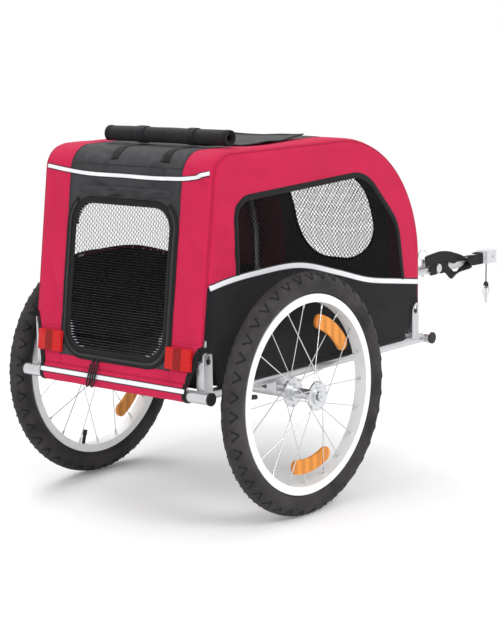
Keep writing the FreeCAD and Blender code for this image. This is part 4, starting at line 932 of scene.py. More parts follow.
class TRAILER_OT_tyres(TrailerOperator, bpy.types.Operator):
    """Tyres with ribs along the crown and chevrons on both shoulders"""

    bl_idname = "trailer.tyres"
    bl_label = "Tyres"

    # Ribs as degrees from the crown and radius, and the bars of a chevron as length, width and height.
    ribs = ((0, 0.0012), (11, 0.0010), (-11, 0.0010), (24, 0.0009), (-24, 0.0009), (84, 0.0009),
            (-84, 0.0009), (118, 0.0012), (-118, 0.0012))
    bar_size = (18.5, 3.6, 0.9)
    shoulder = math.radians(46)
    # Shares of a bar's run across the shoulder and round the tyre, and half the way between two bars.
    bar_turn, bar_aside = (0.82, 0.57), 0.0056
    # The middle of a rib lies this share of its radius under the rubber.
    rib_sunk = 0.45
    # How far the rubber stays inside the box of the solid tyre, in metres.
    skin = 0.0006

    def execute(self, context):
        for side, _ in SIDES:
            self.tyre(side)
        return {"FINISHED"}

    def ring(self, mesh, hub, radius, section, aside, segments):
        """Adds a ring of a round section about the axle."""
        made = bmesh.ops.create_circle(mesh, segments=segments, radius=section)["verts"]
        bmesh.ops.rotate(mesh, matrix=Matrix.Rotation(math.pi / 2, 3, "Y"), verts=made)
        bmesh.ops.translate(mesh, vec=hub + Vector((0, aside, radius)), verts=made)
        edges = list({e for v in made for e in v.link_edges})
        bmesh.ops.spin(mesh, geom=made + edges, cent=hub, axis=(0, 1, 0), angle=2 * math.pi, steps=120,
                       use_merge=True)

    def tyre(self, side):
        hub = Vector(JOINTS[side + "_wheel_spin"]["pos_m"])
        low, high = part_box(side + "_tyre")
        section = (high.y - low.y) / 2 - self.skin
        ring = (high.z - low.z) / 2 - section - self.skin
        mesh = bmesh.new()
        self.ring(mesh, hub, ring, section, 0.0, 36)
        for angle, rib in self.ribs:
            turn = math.radians(angle)
            reach = section - rib * self.rib_sunk
            self.ring(mesh, hub, ring + reach * math.cos(turn), rib, reach * math.sin(turn), 8)
        marks = bmesh.new()
        count = sizes().tread_count
        for half in (-1, 1):
            for index in range(count):
                around = 2 * math.pi * (index + (0.5 if half > 0 else 0)) / count
                out = Vector((math.cos(around), 0, math.sin(around)))
                ahead = Vector((-math.sin(around), 0, math.cos(around)))
                aside = Vector((0, half, 0))
                normal = out * math.cos(self.shoulder) + aside * math.sin(self.shoulder)
                down = aside * math.cos(self.shoulder) - out * math.sin(self.shoulder)
                foot = hub + out * ring + normal * (section + 0.0001)
                for lean in (-1, 1):
                    bar = (down * self.bar_turn[0] - ahead * lean * self.bar_turn[1]).normalized()
                    cross = normal.cross(bar)
                    centre = foot + ahead * lean * self.bar_aside
                    block(marks, *self.bar_size, axes(bar, cross, normal, centre))
        bmesh.ops.recalc_face_normals(mesh, faces=mesh.faces)
        rides = (side + "_wheel", "tyre_rubber", (side + "_tyre",))
        # The chevron bars are darker than the rubber as painted shade of grooves.
        piece(side + "_tyre_chevrons", marks, "tread_groove", *rides)
        obj = piece(side + "_tyre_tread", mesh, "tyre_rubber", *rides)
        obj.modifiers.new("Soft edges", "EDGE_SPLIT").split_angle = math.radians(50)


class TRAILER_OT_metalwork(TrailerOperator, bpy.types.Operator):
    """Finishes of the frame, wheels, hitch and small fittings that keep their own shape"""

    bl_idname = "trailer.metalwork"
    bl_label = "Frame and wheel finishes"

    looks = {
        "frame_paint": ("rear_cross_tube", "front_cross_tube", "middle_cross_tube", "axle_tube",
                        "drawbar_tube", "_side_tube", "_hoop", "_rear_bracket", "_front_bracket"),
        "rim_metal": ("_rim",),
        "spoke_metal": ("_spokes",),
        "hub_metal": ("_hub", "axle_sockets"),
        "bright_steel": ("_axle", "_axle_button", "hitch_bolt", "ring_pin", "linch_pin"),
        "pale_alloy": ("hitch_arm", "hitch_yoke"),
        "black_plastic": ("tube_end_caps", "drawbar_knob", "_rear_lock_button", "_front_lock_button",
                          "_inner_tube"),
        "amber_lens": ("_wheel_reflectors",),
    }
    # Ends and half width of the floor cloth, and those within which it clears the brackets.
    board_ends, board_half = (-229, 461), 235
    clear_ends, clear_half = (-190, 450), 214

    def execute(self, context):
        for look, names in self.looks.items():
            for name in names:
                for node in ([name] if name in NODES else ["right" + name, "left" + name]):
                    NODES[node].data.materials.clear()
                    NODES[node].data.materials.append(finish(look))
        flat = (self.board_ends, (-self.board_half, self.board_half))
        mesh = cloth(flat, 11, self.board, self.clear, away=BELOW)
        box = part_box("floor_panel")
        board = piece("floor_cloth", mesh, "floor_board", slot="floor_board", stands_for=("floor_panel",),
                      thick=box[1].z - box[0].z)
        return {"FINISHED"}

    def clear(self, points):
        """The board stops short of the brackets at its corners."""
        low, high = self.clear_ends
        return (np.abs(points.imag) < self.clear_half) | ((points.real > low) & (points.real < high))

    def board(self, points, lift):
        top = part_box("floor_panel")[1].z * 1000
        return spot(points.real, points.imag, top + 0.4 * ripple(points, 120, 9.0) - 0.4)


class TRAILER_OT_sides(TrailerOperator, bpy.types.Operator):
    """Red side panels with net windows, red corner strips and black lower panels"""

    bl_idname = "trailer.sides"
    bl_label = "Cabin sides"

    # Flat boxes that the side cloths are cut from, and the foot of the cabin's outline.
    upper_box, lower_box, foot_z = ((-250, 512), (410, 762)), ((-228, 512), (291, 516)), 290
    # Tapes keep to the cloth: middle, half length and foot of a side, and runs and half width of the rear.
    side_middle, side_half, side_low = 131, 385, 298
    rear_runs_kept, rear_half = (4, 125), 240
    # The red corner is left open round the front bracket beyond this distance from the middle plane.
    bracket_in = 205

    def execute(self, context):
        for side, sign in SIDES:
            self.flank(side, sign)
            self.strip(side, sign)
        return {"FINISHED"}

    def flank(self, side, sign):
        place = side_place(sign)
        rear, front = corner_of(side, "rear"), corner_of(side, "front")
        seam = self.seam_line()
        foot = [complex(end[0], self.foot_z) for end in (PROFILE[-1], PROFILE[0])] + [seam.points[0]]
        cabin = Line.through(np.append(seam.points, foot), True)

        def wave_z(p):
            return np.interp(p.real, wave_line.points.real, wave_line.points.imag)

        def red(p):
            return cabin.holds(p) & (p.imag > wave_z(p)) & ~window_line.holds(p)

        def black(p):
            inside = cabin.holds(p) & (p.imag < wave_z(p)) & (p.real > self.lower_box[0][0])
            return inside & ~rear.holds(p) & ~front.holds(p)

        mesh = cloth(self.upper_box, 6, place, red, (seam, wave_line, window_line))
        upper = panel(side + "_red_side", mesh, "red_cloth", side + "_side_panel")
        # The lower side cloth takes the darker black as painted shade.
        mesh = cloth(self.lower_box, 6, place, black, (seam, wave_line, rear, front))
        lower = panel(side + "_black_side", mesh, "lower_cloth", "lower_side_panels")
        window = bind(side + "_window_binding", window_top, 13, place, 0.3, 1.3)
        low, high = window_line.points.imag.min(), window_line.points.imag.max()
        wide = window_line.points.real
        # A square of this half side still covers the window when it is turned by 45 degrees.
        reach = (wide.max() - wide.min()) * 0.72
        middle = complex((wide.max() + wide.min()) / 2, (low + high) / 2)
        square = ((middle.real - reach, middle.real + reach), (middle.imag - reach, middle.imag + reach))
        net = diamond_net(side + "_window_net", window_line, square, place, ("window_nets",))
        mesh = tape(wave_line, 15.5, place, 0.5, 0.5, 15, wave_line.total - 4)
        ribbon = reflect(side + "_wave_strip", mesh, ("reflective_strips",))
        trims = []
        for name, line in (("rear", rear), ("front", front)):
            edge = Line.through([p for p in line.points if p.imag > self.side_low
                                 and abs(p.real - self.side_middle) < self.side_half])
            trims.append(bind("%s_%s_corner_tape" % (side, name), edge, 11, place, 0.4, 1.0))
        trims.append(bind(side + "_foot_tape", straight(-190, 460, 296), 9, place, 0.4, 1.0))
        crumple(upper, lower, window, net, ribbon, *trims)
        cut_sheet(upper, with_pieces=(window, net, ribbon))
        cut_sheet(lower, with_pieces=trims)

    def seam_line(self):
        """The profile moved inwards to the seam half round the cabin's edge."""
        edge = sizes().edge_round * 1000
        run = profile.run
        return Line.through(profile.at(run) - profile.way(run) * 1j * edge * (1 - math.cos(math.pi / 4)))

    def strip(self, side, sign):
        size = sizes()
        half, edge = size.cover_half * 1000, size.edge_round * 1000
        inner, outer = size.band_half * 1000, half - edge + edge * math.pi / 4
        hole = rear_corner(side, sign)
        front = corner_of(side, "front")
        end = profile.total

        def keep(p):
            height = profile.at(p.real).imag
            low_front = (p.real > end / 2) & (height < front.points.imag.max())
            return ~hole.holds(p) & ~(low_front & (np.abs(p.imag) > self.bracket_in))

        box = ((0, end), (inner, outer)) if sign > 0 else ((0, end), (-outer, -inner))
        mesh = cloth(box, 6, band_place, keep, (hole,))
        obj = panel(side + "_red_corner", mesh, "red_cloth", side + "_side_panel")
        crumple(obj)
        cut_sheet(obj)
        first, last = self.rear_runs_kept
        edge_line = Line.through([p for p in hole.points if first < p.real < last
                                  and abs(p.imag) < self.rear_half])
        crumple(bind(side + "_rear_corner_tape", edge_line, 14, band_place, 0.4, 1.2))
        welt = straight(94, end - 90, sign * (outer - 0.6))
        crumple(piece(side + "_edge_welt", tape(welt, 4.5, band_place, 0.0, 1.5, step=4), "red_cloth",
                      slot="red_cloth", thick=TAPE))


class TRAILER_OT_band(TrailerOperator, bpy.types.Operator):
    """Black centre panels of the rear, roof and front, the red apron under the door and the front net"""

    bl_idname = "trailer.band"
    bl_label = "Centre panels"

    # Heights of the apron's top and the roof seam on the rear, and how far ahead the front seam is.
    apron_top, roof_seam, front_seam = 327, 728, 252

    def execute(self, context):
        inner = sizes().band_half * 1000
        rise, seam = np.interp((self.apron_top, self.roof_seam), REAR_HEIGHTS, REAR_RUNS).tolist()
        ahead = run_at(self.front_seam)
        hole, front_hole = doorway.mapped(rear_runs), front_net_line.mapped(front_runs)
        mesh = cloth(((rise, ahead), (-inner, inner)), 5.5, band_place, lambda p: ~hole.holds(p), (hole,))
        rear = panel("centre_cloth", mesh, "black_cloth", "centre_rear_panel", "centre_roof_panel")
        mesh = cloth(((0, rise), (-inner, inner)), 5, band_place)
        apron = panel("rear_apron", mesh, "red_cloth", "centre_rear_panel")
        mesh = cloth(((ahead, profile.total), (-inner, inner)), 6, band_place, lambda p: ~front_hole.holds(p),
                     (front_hole,))
        front = panel("front_black", mesh, "black_cloth", "centre_front_panel")
        rim = bind("front_net_binding", front_net_line, 15, front_place, 0.3, 1.3)
        net = diamond_net("front_net", front_net_line, ((-190, 190), (386, 766)), front_place)
        seams = []
        for name, run in (("roof_seam", seam), ("front_seam", ahead)):
            line = Line(((run, -inner, 0), (run, inner, 0)))
            seams.append(bind(name, line, 5, band_place, 0.1, 0.9, thick=THIN_TAPE, look="black_cloth"))
        for side, sign in SIDES:
            line = straight(rise, profile.total, sign * inner)
            seams.append(bind("band_seam_" + side, line, 4, band_place, 0.0, 1.0, thick=THIN_TAPE,
                              look="black_cloth"))
        crumple(rear, apron, front, rim, net, *seams)
        cut_sheet(rear)
        cut_sheet(apron)
        cut_sheet(front, with_pieces=(rim, net))
        return {"FINISHED"}


class TRAILER_OT_door(TrailerOperator, bpy.types.Operator):
    """Rear door of net in a bound frame, with the zip round it and its two sliders"""

    bl_idname = "trailer.door"
    bl_label = "Rear door and zip"

    # Middle height of the doorway, and where the zip and its guard end beside its head.
    middle, zip_top, guard_top = 497, 648, 655
    # For the nets: a height in metres, and a share of what lies above it.
    net_anchor, net_keep = 0.340, 0.275
    # Height of a slider's foot, and its blocks: length, width, height, way up the zip and way out of it.
    slider_z = 318
    slider_blocks = ((13, 7.2, 2.4, 7, 0.4), (7, 3.0, 2.0, 7, 2.9), (4, 6, 3.2, 2.2, 1.2))

    def execute(self, context):
        pitch = sizes().door_pitch * 1000
        nets = []
        for name, look, gap, share in (("weft", "door_thread", pitch * 0.82, 1.25),
                                       ("warp", "net_cord", pitch, 0.5)):
            mesh = cloth(((-146, 146), (328, 666)), gap, rear_place, door_line.holds, (door_line,), -1.0)
            mesh = self.threads(mesh, name)
            net = knit(piece("door_net_" + name, mesh, look, "rear_door", "net_cloth", ("rear_door",)))
            net.modifiers["Cords"].thickness *= share
            nets.append(net)
        ring = bind("door_binding", door_line, 13, rear_place, 0.6, 0.9, "rear_door")
        zip_line = self.round_door(1.012, 1.012, 1, self.zip_top)
        coil = bind("door_zip", zip_line, 7, rear_place, 2.3, 1.2, look="zip_coil")
        guard = bind("zip_guard", self.round_door(1.05, 1.038, 1.1, self.guard_top), 10, rear_place, 0.6, 2.4)
        hood = panel("door_hood", self.hood(), "black_cloth")
        # A tape inside the head of the doorway closes the slit above the hinged edge.
        head_line = Line(((-140, 600, 0), (-140, 657, 52), (140, 657, 52), (140, 600, 0)))
        head = bind("door_head_tape", head_line, 22, rear_place, -3.6, 0.0, thick=THIN_TAPE)
        crumple(ring, coil, guard, hood, head)
        for net in nets:
            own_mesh(net)
        for number in ("one", "two"):
            self.slider("zip_slider_" + number)
        return {"FINISHED"}

    def round_door(self, wide, tall, soft, top):
        """The doorway's outline grown about its middle, and open above a height."""
        corners = ((x * wide, self.middle + (z - self.middle) * tall, r * soft) for x, z, r in DOORWAY)
        points = Line(tuple(corners), True).points[:-1]
        low = points.imag < top
        turn = -int(np.argmin(low))
        return Line.through(np.roll(points, turn)[np.roll(low, turn)])

    def threads(self, mesh, name):
        """Leaves only the threads that run across, or only those that run up."""
        def runs_up(edge):
            way = edge.verts[1].co - edge.verts[0].co
            return abs(way.z) > abs(way.y)

        gone = [e for e in mesh.edges if not e.is_boundary and runs_up(e) == (name == "weft")]
        bmesh.ops.dissolve_edges(mesh, edges=gone, use_verts=False)
        return mesh

    def hood(self):
        """Fold of the rear cloth above the top of the door, with a wavy free edge."""
        high = doorway.points.imag.max()
        half, above, below = 132, 24, 26

        def place(points, lift):
            x, z = points.real, points.imag
            taper = np.clip(1 - (x / half) ** 2, 0, 1)
            down = (high + above - z) / (above + below)
            edge = 12 - 8 * taper ** 0.6 + taper * (1.8 * np.sin(x / 21 + 1.0) + 1.2 * np.sin(x / 9.5))
            moved = x + 1j * (high + above + (edge - above) * down)
            bulge = 4.5 + 3.0 * np.sin(math.pi * down ** 0.7) - 1.4 * down
            taper = np.minimum(1.0, 2.6 * taper) * np.minimum(1.0, 0.1 + 4 * down)
            fold = 2.4 * np.sin((x + 1.5 * z) / 14) + 1.8 * np.sin((x - z) / 9)
            rise = taper * (bulge + fold * np.sin(math.pi * np.clip(down, 0, 0.75)))
            return rear_place(moved, 0.5 + rise + lift)

        return cloth(((-half, half), (high - below, high + above)), 3.5, place)

    def slider(self, node):
        low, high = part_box(node)
        middle = (low.y + high.y) / 2 * 1000
        foot = Vector(rear_place(np.array([complex(middle, self.slider_z)]), 1.4)[0])
        mesh = bmesh.new()
        mesh.loops.layers.uv.new("Pattern")
        for along, wide, tall, shift, depth in self.slider_blocks:
            centre = foot + REAR_UP * shift / 1000 + REAR_OUT * depth / 1000
            block(mesh, along, wide, tall, axes(REAR_UP, Vector((0, 1, 0)), REAR_OUT, centre), 0.6)
        piece(node + "_body", mesh, "black_plastic", node, "black_plastic", (node,))
        long = (foot.z - low.z) * 1000 - 3.0
        loop = Line(((-3.4, -2, 2), (3.4, -2, 2), (3.2, -long * 0.5, 30), (3.9, -long, 3.6),
                     (-3.9, -long, 3.6), (-3.2, -long * 0.5, 30)), True)
        slope = Vector((low.x + 0.002 - foot.x, 0, low.z + 0.004 - foot.z)).normalized()
        mesh = rod(loop, 1.9, foot + REAR_OUT * 0.0040, (0, 1, 0), -slope)
        piece(node + "_pull", mesh, "net_cord", node, "black_plastic")


class TRAILER_OT_strips(TrailerOperator, bpy.types.Operator):
    """Reflective strips of the rear, the hem round the rear tube and its bound ends"""

    bl_idname = "trailer.strips"
    bl_label = "Reflective strips and hem"

    def execute(self, context):
        top = smooth(((-227, 722), (-185, 711), (-110, 706), (0, 706), (120, 707), (227, 717)))
        crumple(reflect("rear_top_strip", tape(top, 11, rear_place, 0.8, 0.5)))
        self.hem()
        return {"FINISHED"}

    def hem(self):
        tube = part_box("rear_hem")
        centre = complex((tube[0].x + tube[1].x) / 2 - AXLE_X, (tube[0].z + tube[1].z) / 2) * 1000
        reach = (tube[1].z - tube[0].z) / 2 * 1000 - 1.0
        x, z = centre.real, centre.imag
        bend = reach * 0.97
        wrap = Line(((-255.0, 306, 0), (x - reach + 1, z + 10, 10), (x - reach - 0.5, z - reach, bend),
                     (x + reach, z - reach - 0.5, bend), (x + reach, z + 8, 0)))
        half = tube[1].y * 1000

        def place(points, lift):
            run, aside = points.real, points.imag
            rise = lift + 0.7 * ripple(points, 46, 8.0) * np.clip(run / 12, 0, 1)
            base = wrap.at(run) - wrap.way(run) * 1j * rise
            return spot(base.real, aside, base.imag)

        below = Vector((AXLE_X - 0.248, 0, 0.282))
        box = ((0, wrap.total), (-half, half))
        cut_sheet(panel("hem_cloth", cloth(box, 5, place, away=below), "red_cloth", "rear_hem"))
        line = Line(((15, -half + 2, 0), (15, half - 2, 0)))
        reflect("rear_low_strip", tape(line, 13, place, 0.8, 0.5, away=below))
        for side, sign in SIDES:
            line = straight(0, wrap.total, sign * (half - 4))
            bind("hem_end_" + side, line, 11, place, 0.4, 0.8, away=below)


class TRAILER_OT_reflectors(TrailerOperator, bpy.types.Operator):
    """Rear reflectors with three facets on red backs"""

    bl_idname = "trailer.reflectors"
    bl_label = "Rear reflectors"

    # Width and depth of a lens in millimetres; half width of its middle facet and drop of its ends in metres.
    wide, deep = 68.0, 6.5
    facet_half, end_drop = 0.011, 0.0022

    def execute(self, context):
        for side, sign in SIDES:
            self.lens(side, sign)
        return {"FINISHED"}

    def lens(self, side, sign):
        low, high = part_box("rear_reflectors")
        tall = (high.z - low.z) * 1000 - 6
        wide = self.wide
        middle = complex(sign * (high.y * 1000 - wide / 2 - 2), (low.z + high.z) * 500)
        foot = Vector(rear_place(np.array([middle]), 1.4)[0])
        face = (Vector((0, 1, 0)), REAR_UP, REAR_OUT)
        back = bmesh.new()
        block(back, wide + 1.4, tall + 1.4, 2.0, axes(*face, foot + REAR_OUT * 0.001), 0.7)
        crumple(piece(side + "_reflector_back", back, "lens_back", slot="red_reflector",
                      stands_for=("rear_reflectors",)))
        lens = bmesh.new()
        block(lens, wide, tall, self.deep, Matrix.Identity(4))
        for cut in (-self.facet_half, self.facet_half):
            bmesh.ops.bisect_plane(lens, geom=everything(lens), plane_co=(cut, 0, 0), plane_no=(1, 0, 0))
        for vert in lens.verts:
            if vert.co.z > 0 and abs(vert.co.x) > 2 * self.facet_half:
                vert.co.z -= self.end_drop
        bmesh.ops.bevel(lens, geom=lens.edges[:], offset=0.0008, affect="EDGES", segments=2, profile=0.5,
                        material=-1, clamp_overlap=True)
        bmesh.ops.transform(lens, matrix=axes(*face, foot + REAR_OUT * 0.005), verts=lens.verts)
        obj = piece(side + "_reflector_lens", lens, "red_lens", slot="red_reflector")
        obj.modifiers.new("Edges", "EDGE_SPLIT").split_angle = math.radians(12)
        crumple(obj)


class TRAILER_OT_roof_things(TrailerOperator, bpy.types.Operator):
    """Rolled rear cover with its two tabs, and the loose flap ahead of it"""

    bl_idname = "trailer.roof_things"
    bl_label = "Roll, tabs and flap"

    # Shares of their height over the fold line, for the roll and the flap.
    roll_keep, flap_keep = 0.165, 0.16
    # Turns of the roll, radius of its core and where its free edge lies; places of its tabs and their tails.
    turns, core, free_edge = 2.6, 9.5, math.radians(120)
    tab_aside, tail, hem_run = 70, 104, 118

    def execute(self, context):
        self.roll()
        self.flap()
        return {"FINISHED"}

    def roll(self):
        low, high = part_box("cover_roll")
        centre = complex((low.x + high.x) / 2 - AXLE_X, (low.z + high.z) / 2) * 1000
        reach, half = (high.z - low.z) / 2 * 1000, (high.y - low.y) * 500
        middle = (high.y + low.y) * 500
        angles = np.linspace(0, 2 * math.pi * self.turns, int(self.turns * 40))
        radius = reach - 0.8 - (reach - self.core) * (angles / angles[-1]) ** 1.1
        made = Line.through(centre + radius * np.exp(-1j * (angles + self.free_edge)))

        def place(points, lift):
            base, out = made.at(points.real), made.way(points.real) * 1j
            rise = 0.8 * ripple(points + 37j, 52, 2.0) * np.clip(1 - points.real / 260, 0, 1)
            base = base + out * (rise + lift)
            lean = 5.0 * (points.real / made.total) * np.sign(points.imag) * (np.abs(points.imag) / half) ** 8
            return spot(base.real, middle + points.imag - lean, base.imag)

        box = ((0, made.total), (-half, half))
        heart = Vector((low + high) / 2)
        mesh = cloth(box, (3.5, 8), place, away=heart)
        roll = piece("rolled_cover", mesh, "roll_cloth", slot="black_cloth", stands_for=("cover_roll",),
                     thick=0.0022, inward=False)
        hems = []
        for side, sign in SIDES:
            line = straight(0, self.hem_run, sign * (half - 7))
            hems.append(bind("roll_hem_" + side, line, 14, place, 1.2, 0.5, thick=THIN_TAPE, away=heart))
        tabs = []
        under = run_at(centre.real)
        sweep = np.linspace(math.radians(92), math.radians(440), 90)
        ring = Line.through(centre + (reach + 0.4) * np.exp(-1j * sweep))

        def ring_place(points, lift):
            base = ring.at(points.real) + ring.way(points.real) * 1j * lift
            return spot(base.real, points.imag, base.imag)

        for side, sign in SIDES:
            aside = middle + sign * self.tab_aside
            mesh = tape(straight(0, ring.total, aside), 22, ring_place, 0.1, 0.2, away=heart)
            tabs.append(piece("roll_tab_" + side, mesh, "roll_cloth", slot="black_cloth",
                              stands_for=("roll_tabs",), thick=0.0008, inward=False))
            line = straight(under - self.tail, under, aside)
            tabs.append(bind("tab_tail_" + side, line, 24, band_place, 0.6, 0.3, thick=THIN_TAPE))
        crumple(roll, *hems, *tabs, keep=self.roll_keep)
        cut_sheet(roll, with_pieces=hems)

    def flap(self):
        low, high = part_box("roof_flap")
        rear, front = (low.x - AXLE_X) * 1000, (high.x - AXLE_X) * 1000
        half, base = high.y * 1000, low.z * 1000

        def place(points, lift):
            share = (points.real - rear) / (front - rear)
            aside = points.imag / half
            rise = 1.9 + 2.6 * np.sin(share * 7.2 + aside * 1.3) ** 2 * np.clip(share * 5, 0, 1)
            rise = rise + 1.6 * (1 + ripple(points, 64, 6.0)) * np.clip(share * 4, 0, 1)
            rise = rise + 6.5 * np.clip((share - 0.62) / 0.38, 0, 1) ** 2 * np.clip(-aside, 0, 1) ** 2
            rise = rise + 3.4 * np.clip((share - 0.8) / 0.2, 0, 1) ** 2
            rise = rise + 24 * np.exp(-((share - 0.3) / 0.2) ** 2 - ((aside - 0.8) / 0.3) ** 2)
            return spot(points.real + 3 * aside * share, points.imag, base + rise + lift)

        # The hinged edge starts a little ahead of the hinge line, so that it clears the roof when lifted.
        start = rear + 2.5
        box = ((start, front), (-half, half))
        mesh = cloth(box, 6, place, away=BELOW)
        flap = piece("loose_flap", mesh, "black_cloth", "roof_flap", "black_cloth", ("roof_flap",),
                     sizes().cloth)
        trims = []
        for name, line in (("front", Line(((front - 5, -half, 0), (front - 5, half, 0)))),
                           ("right", straight(start, front, -half + 4)),
                           ("left", straight(start, front, half - 4))):
            trims.append(bind("flap_hem_" + name, line, 9, place, 0.3, 0.5, "roof_flap", THIN_TAPE, BELOW))
        crumple(flap, *trims, keep=self.flap_keep)
        cut_sheet(flap, trims)


class TRAILER_OT_hitch(TrailerOperator, bpy.types.Operator):
    """Safety strap twisted along the hitch arm, and the lanyard of the linch pin"""

    bl_idname = "trailer.hitch"
    bl_label = "Hitch strap and lanyard"

    # Look, body and slot of the strap, and the radius of its eye round the bolt.
    webbing = ("strap_webbing", "hitch_arm", "strap_webbing")
    eye = 13.2

    def execute(self, context):
        self.strap()
        self.lanyard()
        return {"FINISHED"}

    def ribbon(self, name, stops, width):
        """Webbing through stops of place (ahead, left, up) and roll in degrees."""
        stops = np.array(stops, float)
        reach = np.concatenate([[0], np.cumsum(np.linalg.norm(np.diff(stops[:, :3], axis=0), axis=1))])
        count, blur = 200, 17
        fine = np.linspace(0, 1, count)
        soft = np.stack([np.interp(fine, reach / reach[-1], stops[:, axis]) for axis in range(4)], 1)
        ends = [np.repeat(soft[at:at + 1], blur // 2, 0) for at in (0, count - 1)]
        padded = np.concatenate([ends[0], soft, ends[1]])
        soft = np.stack([np.convolve(padded[:, axis], np.ones(blur) / blur, "valid") for axis in range(4)], 1)
        mesh = bmesh.new()
        bmesh.ops.create_grid(mesh, x_segments=90, y_segments=4, size=0.5)
        pattern(mesh, lambda vert: ((vert.co.x + 0.5) * reach[-1] / 1000, vert.co.y + 0.5))
        for vert in mesh.verts:
            here = (vert.co.x + 0.5) * (count - 1)
            x, y, z, roll = (float(np.interp(here, np.arange(count), soft[:, axis])) for axis in range(4))
            ahead = soft[min(count - 1, int(here) + 1)] - soft[max(0, int(here) - 1)]
            along = Vector(ahead[:3]).normalized()
            flat = Vector((0, 1, 0)).cross(along).normalized()
            side = Matrix.Rotation(math.radians(roll), 3, along) @ flat
            vert.co = Vector(spot(x, y, z)) + side * vert.co.y * width / 1000
        piece(name, mesh, *self.webbing, ("safety_strap",), 0.002, False)

    def strap(self):
        low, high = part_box("safety_strap")
        arm_low, arm_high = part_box("hitch_arm")
        bar = (arm_low.y + arm_high.y) * 500
        mid = (arm_low.z + arm_high.z) * 500
        near = bar - 12.4
        start, end = (low.x - AXLE_X) * 1000, (high.x - AXLE_X) * 1000
        upper = ((-90, -8, 24, 0), (-60, -8, 28, 0), (-20, -7, 31, 0), (20, -5, 27, 0), (58, -3, 17, 10),
                 (92, -2, 8, 60), (124, -1, 3, 150), (150, 0, 0, 178), (end - 4 - start, 0, -1, 180))
        lower = ((2, -4, 4, 0), (26, -4, -14, 0), (44, -4, -27, 16), (66, -4, -25, 50), (100, -4, -13, 110),
                 (136, -3, -6, 170))
        for name, stops, width in (("strap_upper", upper, 28), ("strap_lower", lower, 21)):
            self.ribbon(name, np.array(stops, float) + (start, near, mid, 0), width)
        bolt = JOINTS["hitch_arm_pitch"]["pos_m"]
        hub = complex(bolt[0] - AXLE_X, bolt[2]) * 1000
        hole = Line.through(hub + self.eye * np.exp(1j * np.linspace(0, 2 * math.pi, 33)), True)
        mesh = cloth(((hub.real - 36, start + 16), (mid - 15, mid + 22)), 3,
                     lambda p, lift: spot(p.real, np.full(len(p), near - 4.6), p.imag),
                     lambda p: np.abs(p - hub) > self.eye, (hole,), away=Vector(spot(hub.real, bar, mid)))
        piece("strap_eyelet", mesh, *self.webbing, thick=0.0018)
        loop = Line(((-12.6, -14.4, 3), (12.2, -14.4, 3), (12.2, 14.4, 3), (-12.6, 14.4, 3)), True)
        line = straight(0, loop.total, 0)
        for name, x in (("rear", start + 22), ("front", end - 14)):

            def place(points, lift, x=x):
                ring = loop.at(points.real) + loop.way(points.real) * -1j * lift
                return spot(x + points.imag, bar + ring.real, mid + ring.imag)

            mesh = tape(line, 17, place, 0.2, 0.3, away=Vector(spot(x, bar, mid)))
            piece("strap_band_" + name, mesh, *self.webbing, thick=0.0016, inward=False)

    def lanyard(self):
        low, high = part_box("lanyard")
        middle = (low + high) / 2
        curve = bpy.data.curves.new("lanyard_cord", "CURVE")
        curve.dimensions = "3D"
        spline = curve.splines.new("NURBS")
        route = ((0, high.z), (0.0004, high.z - 0.012), (-0.0005, middle.z), (0, low.z))
        spline.points.add(len(route) - 1)
        for point, (aside, height) in zip(spline.points, route):
            point.co = (middle.x + aside, middle.y, height, 1)
        spline.order_u = 3
        spline.use_endpoint_u = True
        curve.bevel_depth = (high.x - low.x) / 2
        curve.bevel_resolution = 3
        curve.materials.append(finish("net_cord"))
        obj = bpy.data.objects.new("lanyard_cord", curve)
        bpy.context.scene.collection.objects.link(obj)
        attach(obj, "hitch_arm")
        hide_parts("lanyard")
        boss = bmesh.new()
        bmesh.ops.create_uvsphere(boss, u_segments=16, v_segments=10, radius=0.0072)
        bmesh.ops.scale(boss, vec=(1, 1, 1.45), verts=boss.verts)
        bmesh.ops.translate(boss, vec=(middle.x, middle.y, low.z - 0.004), verts=boss.verts)
        knob = piece("lanyard_boss", boss, "black_plastic", "hitch_arm", "strap_webbing")


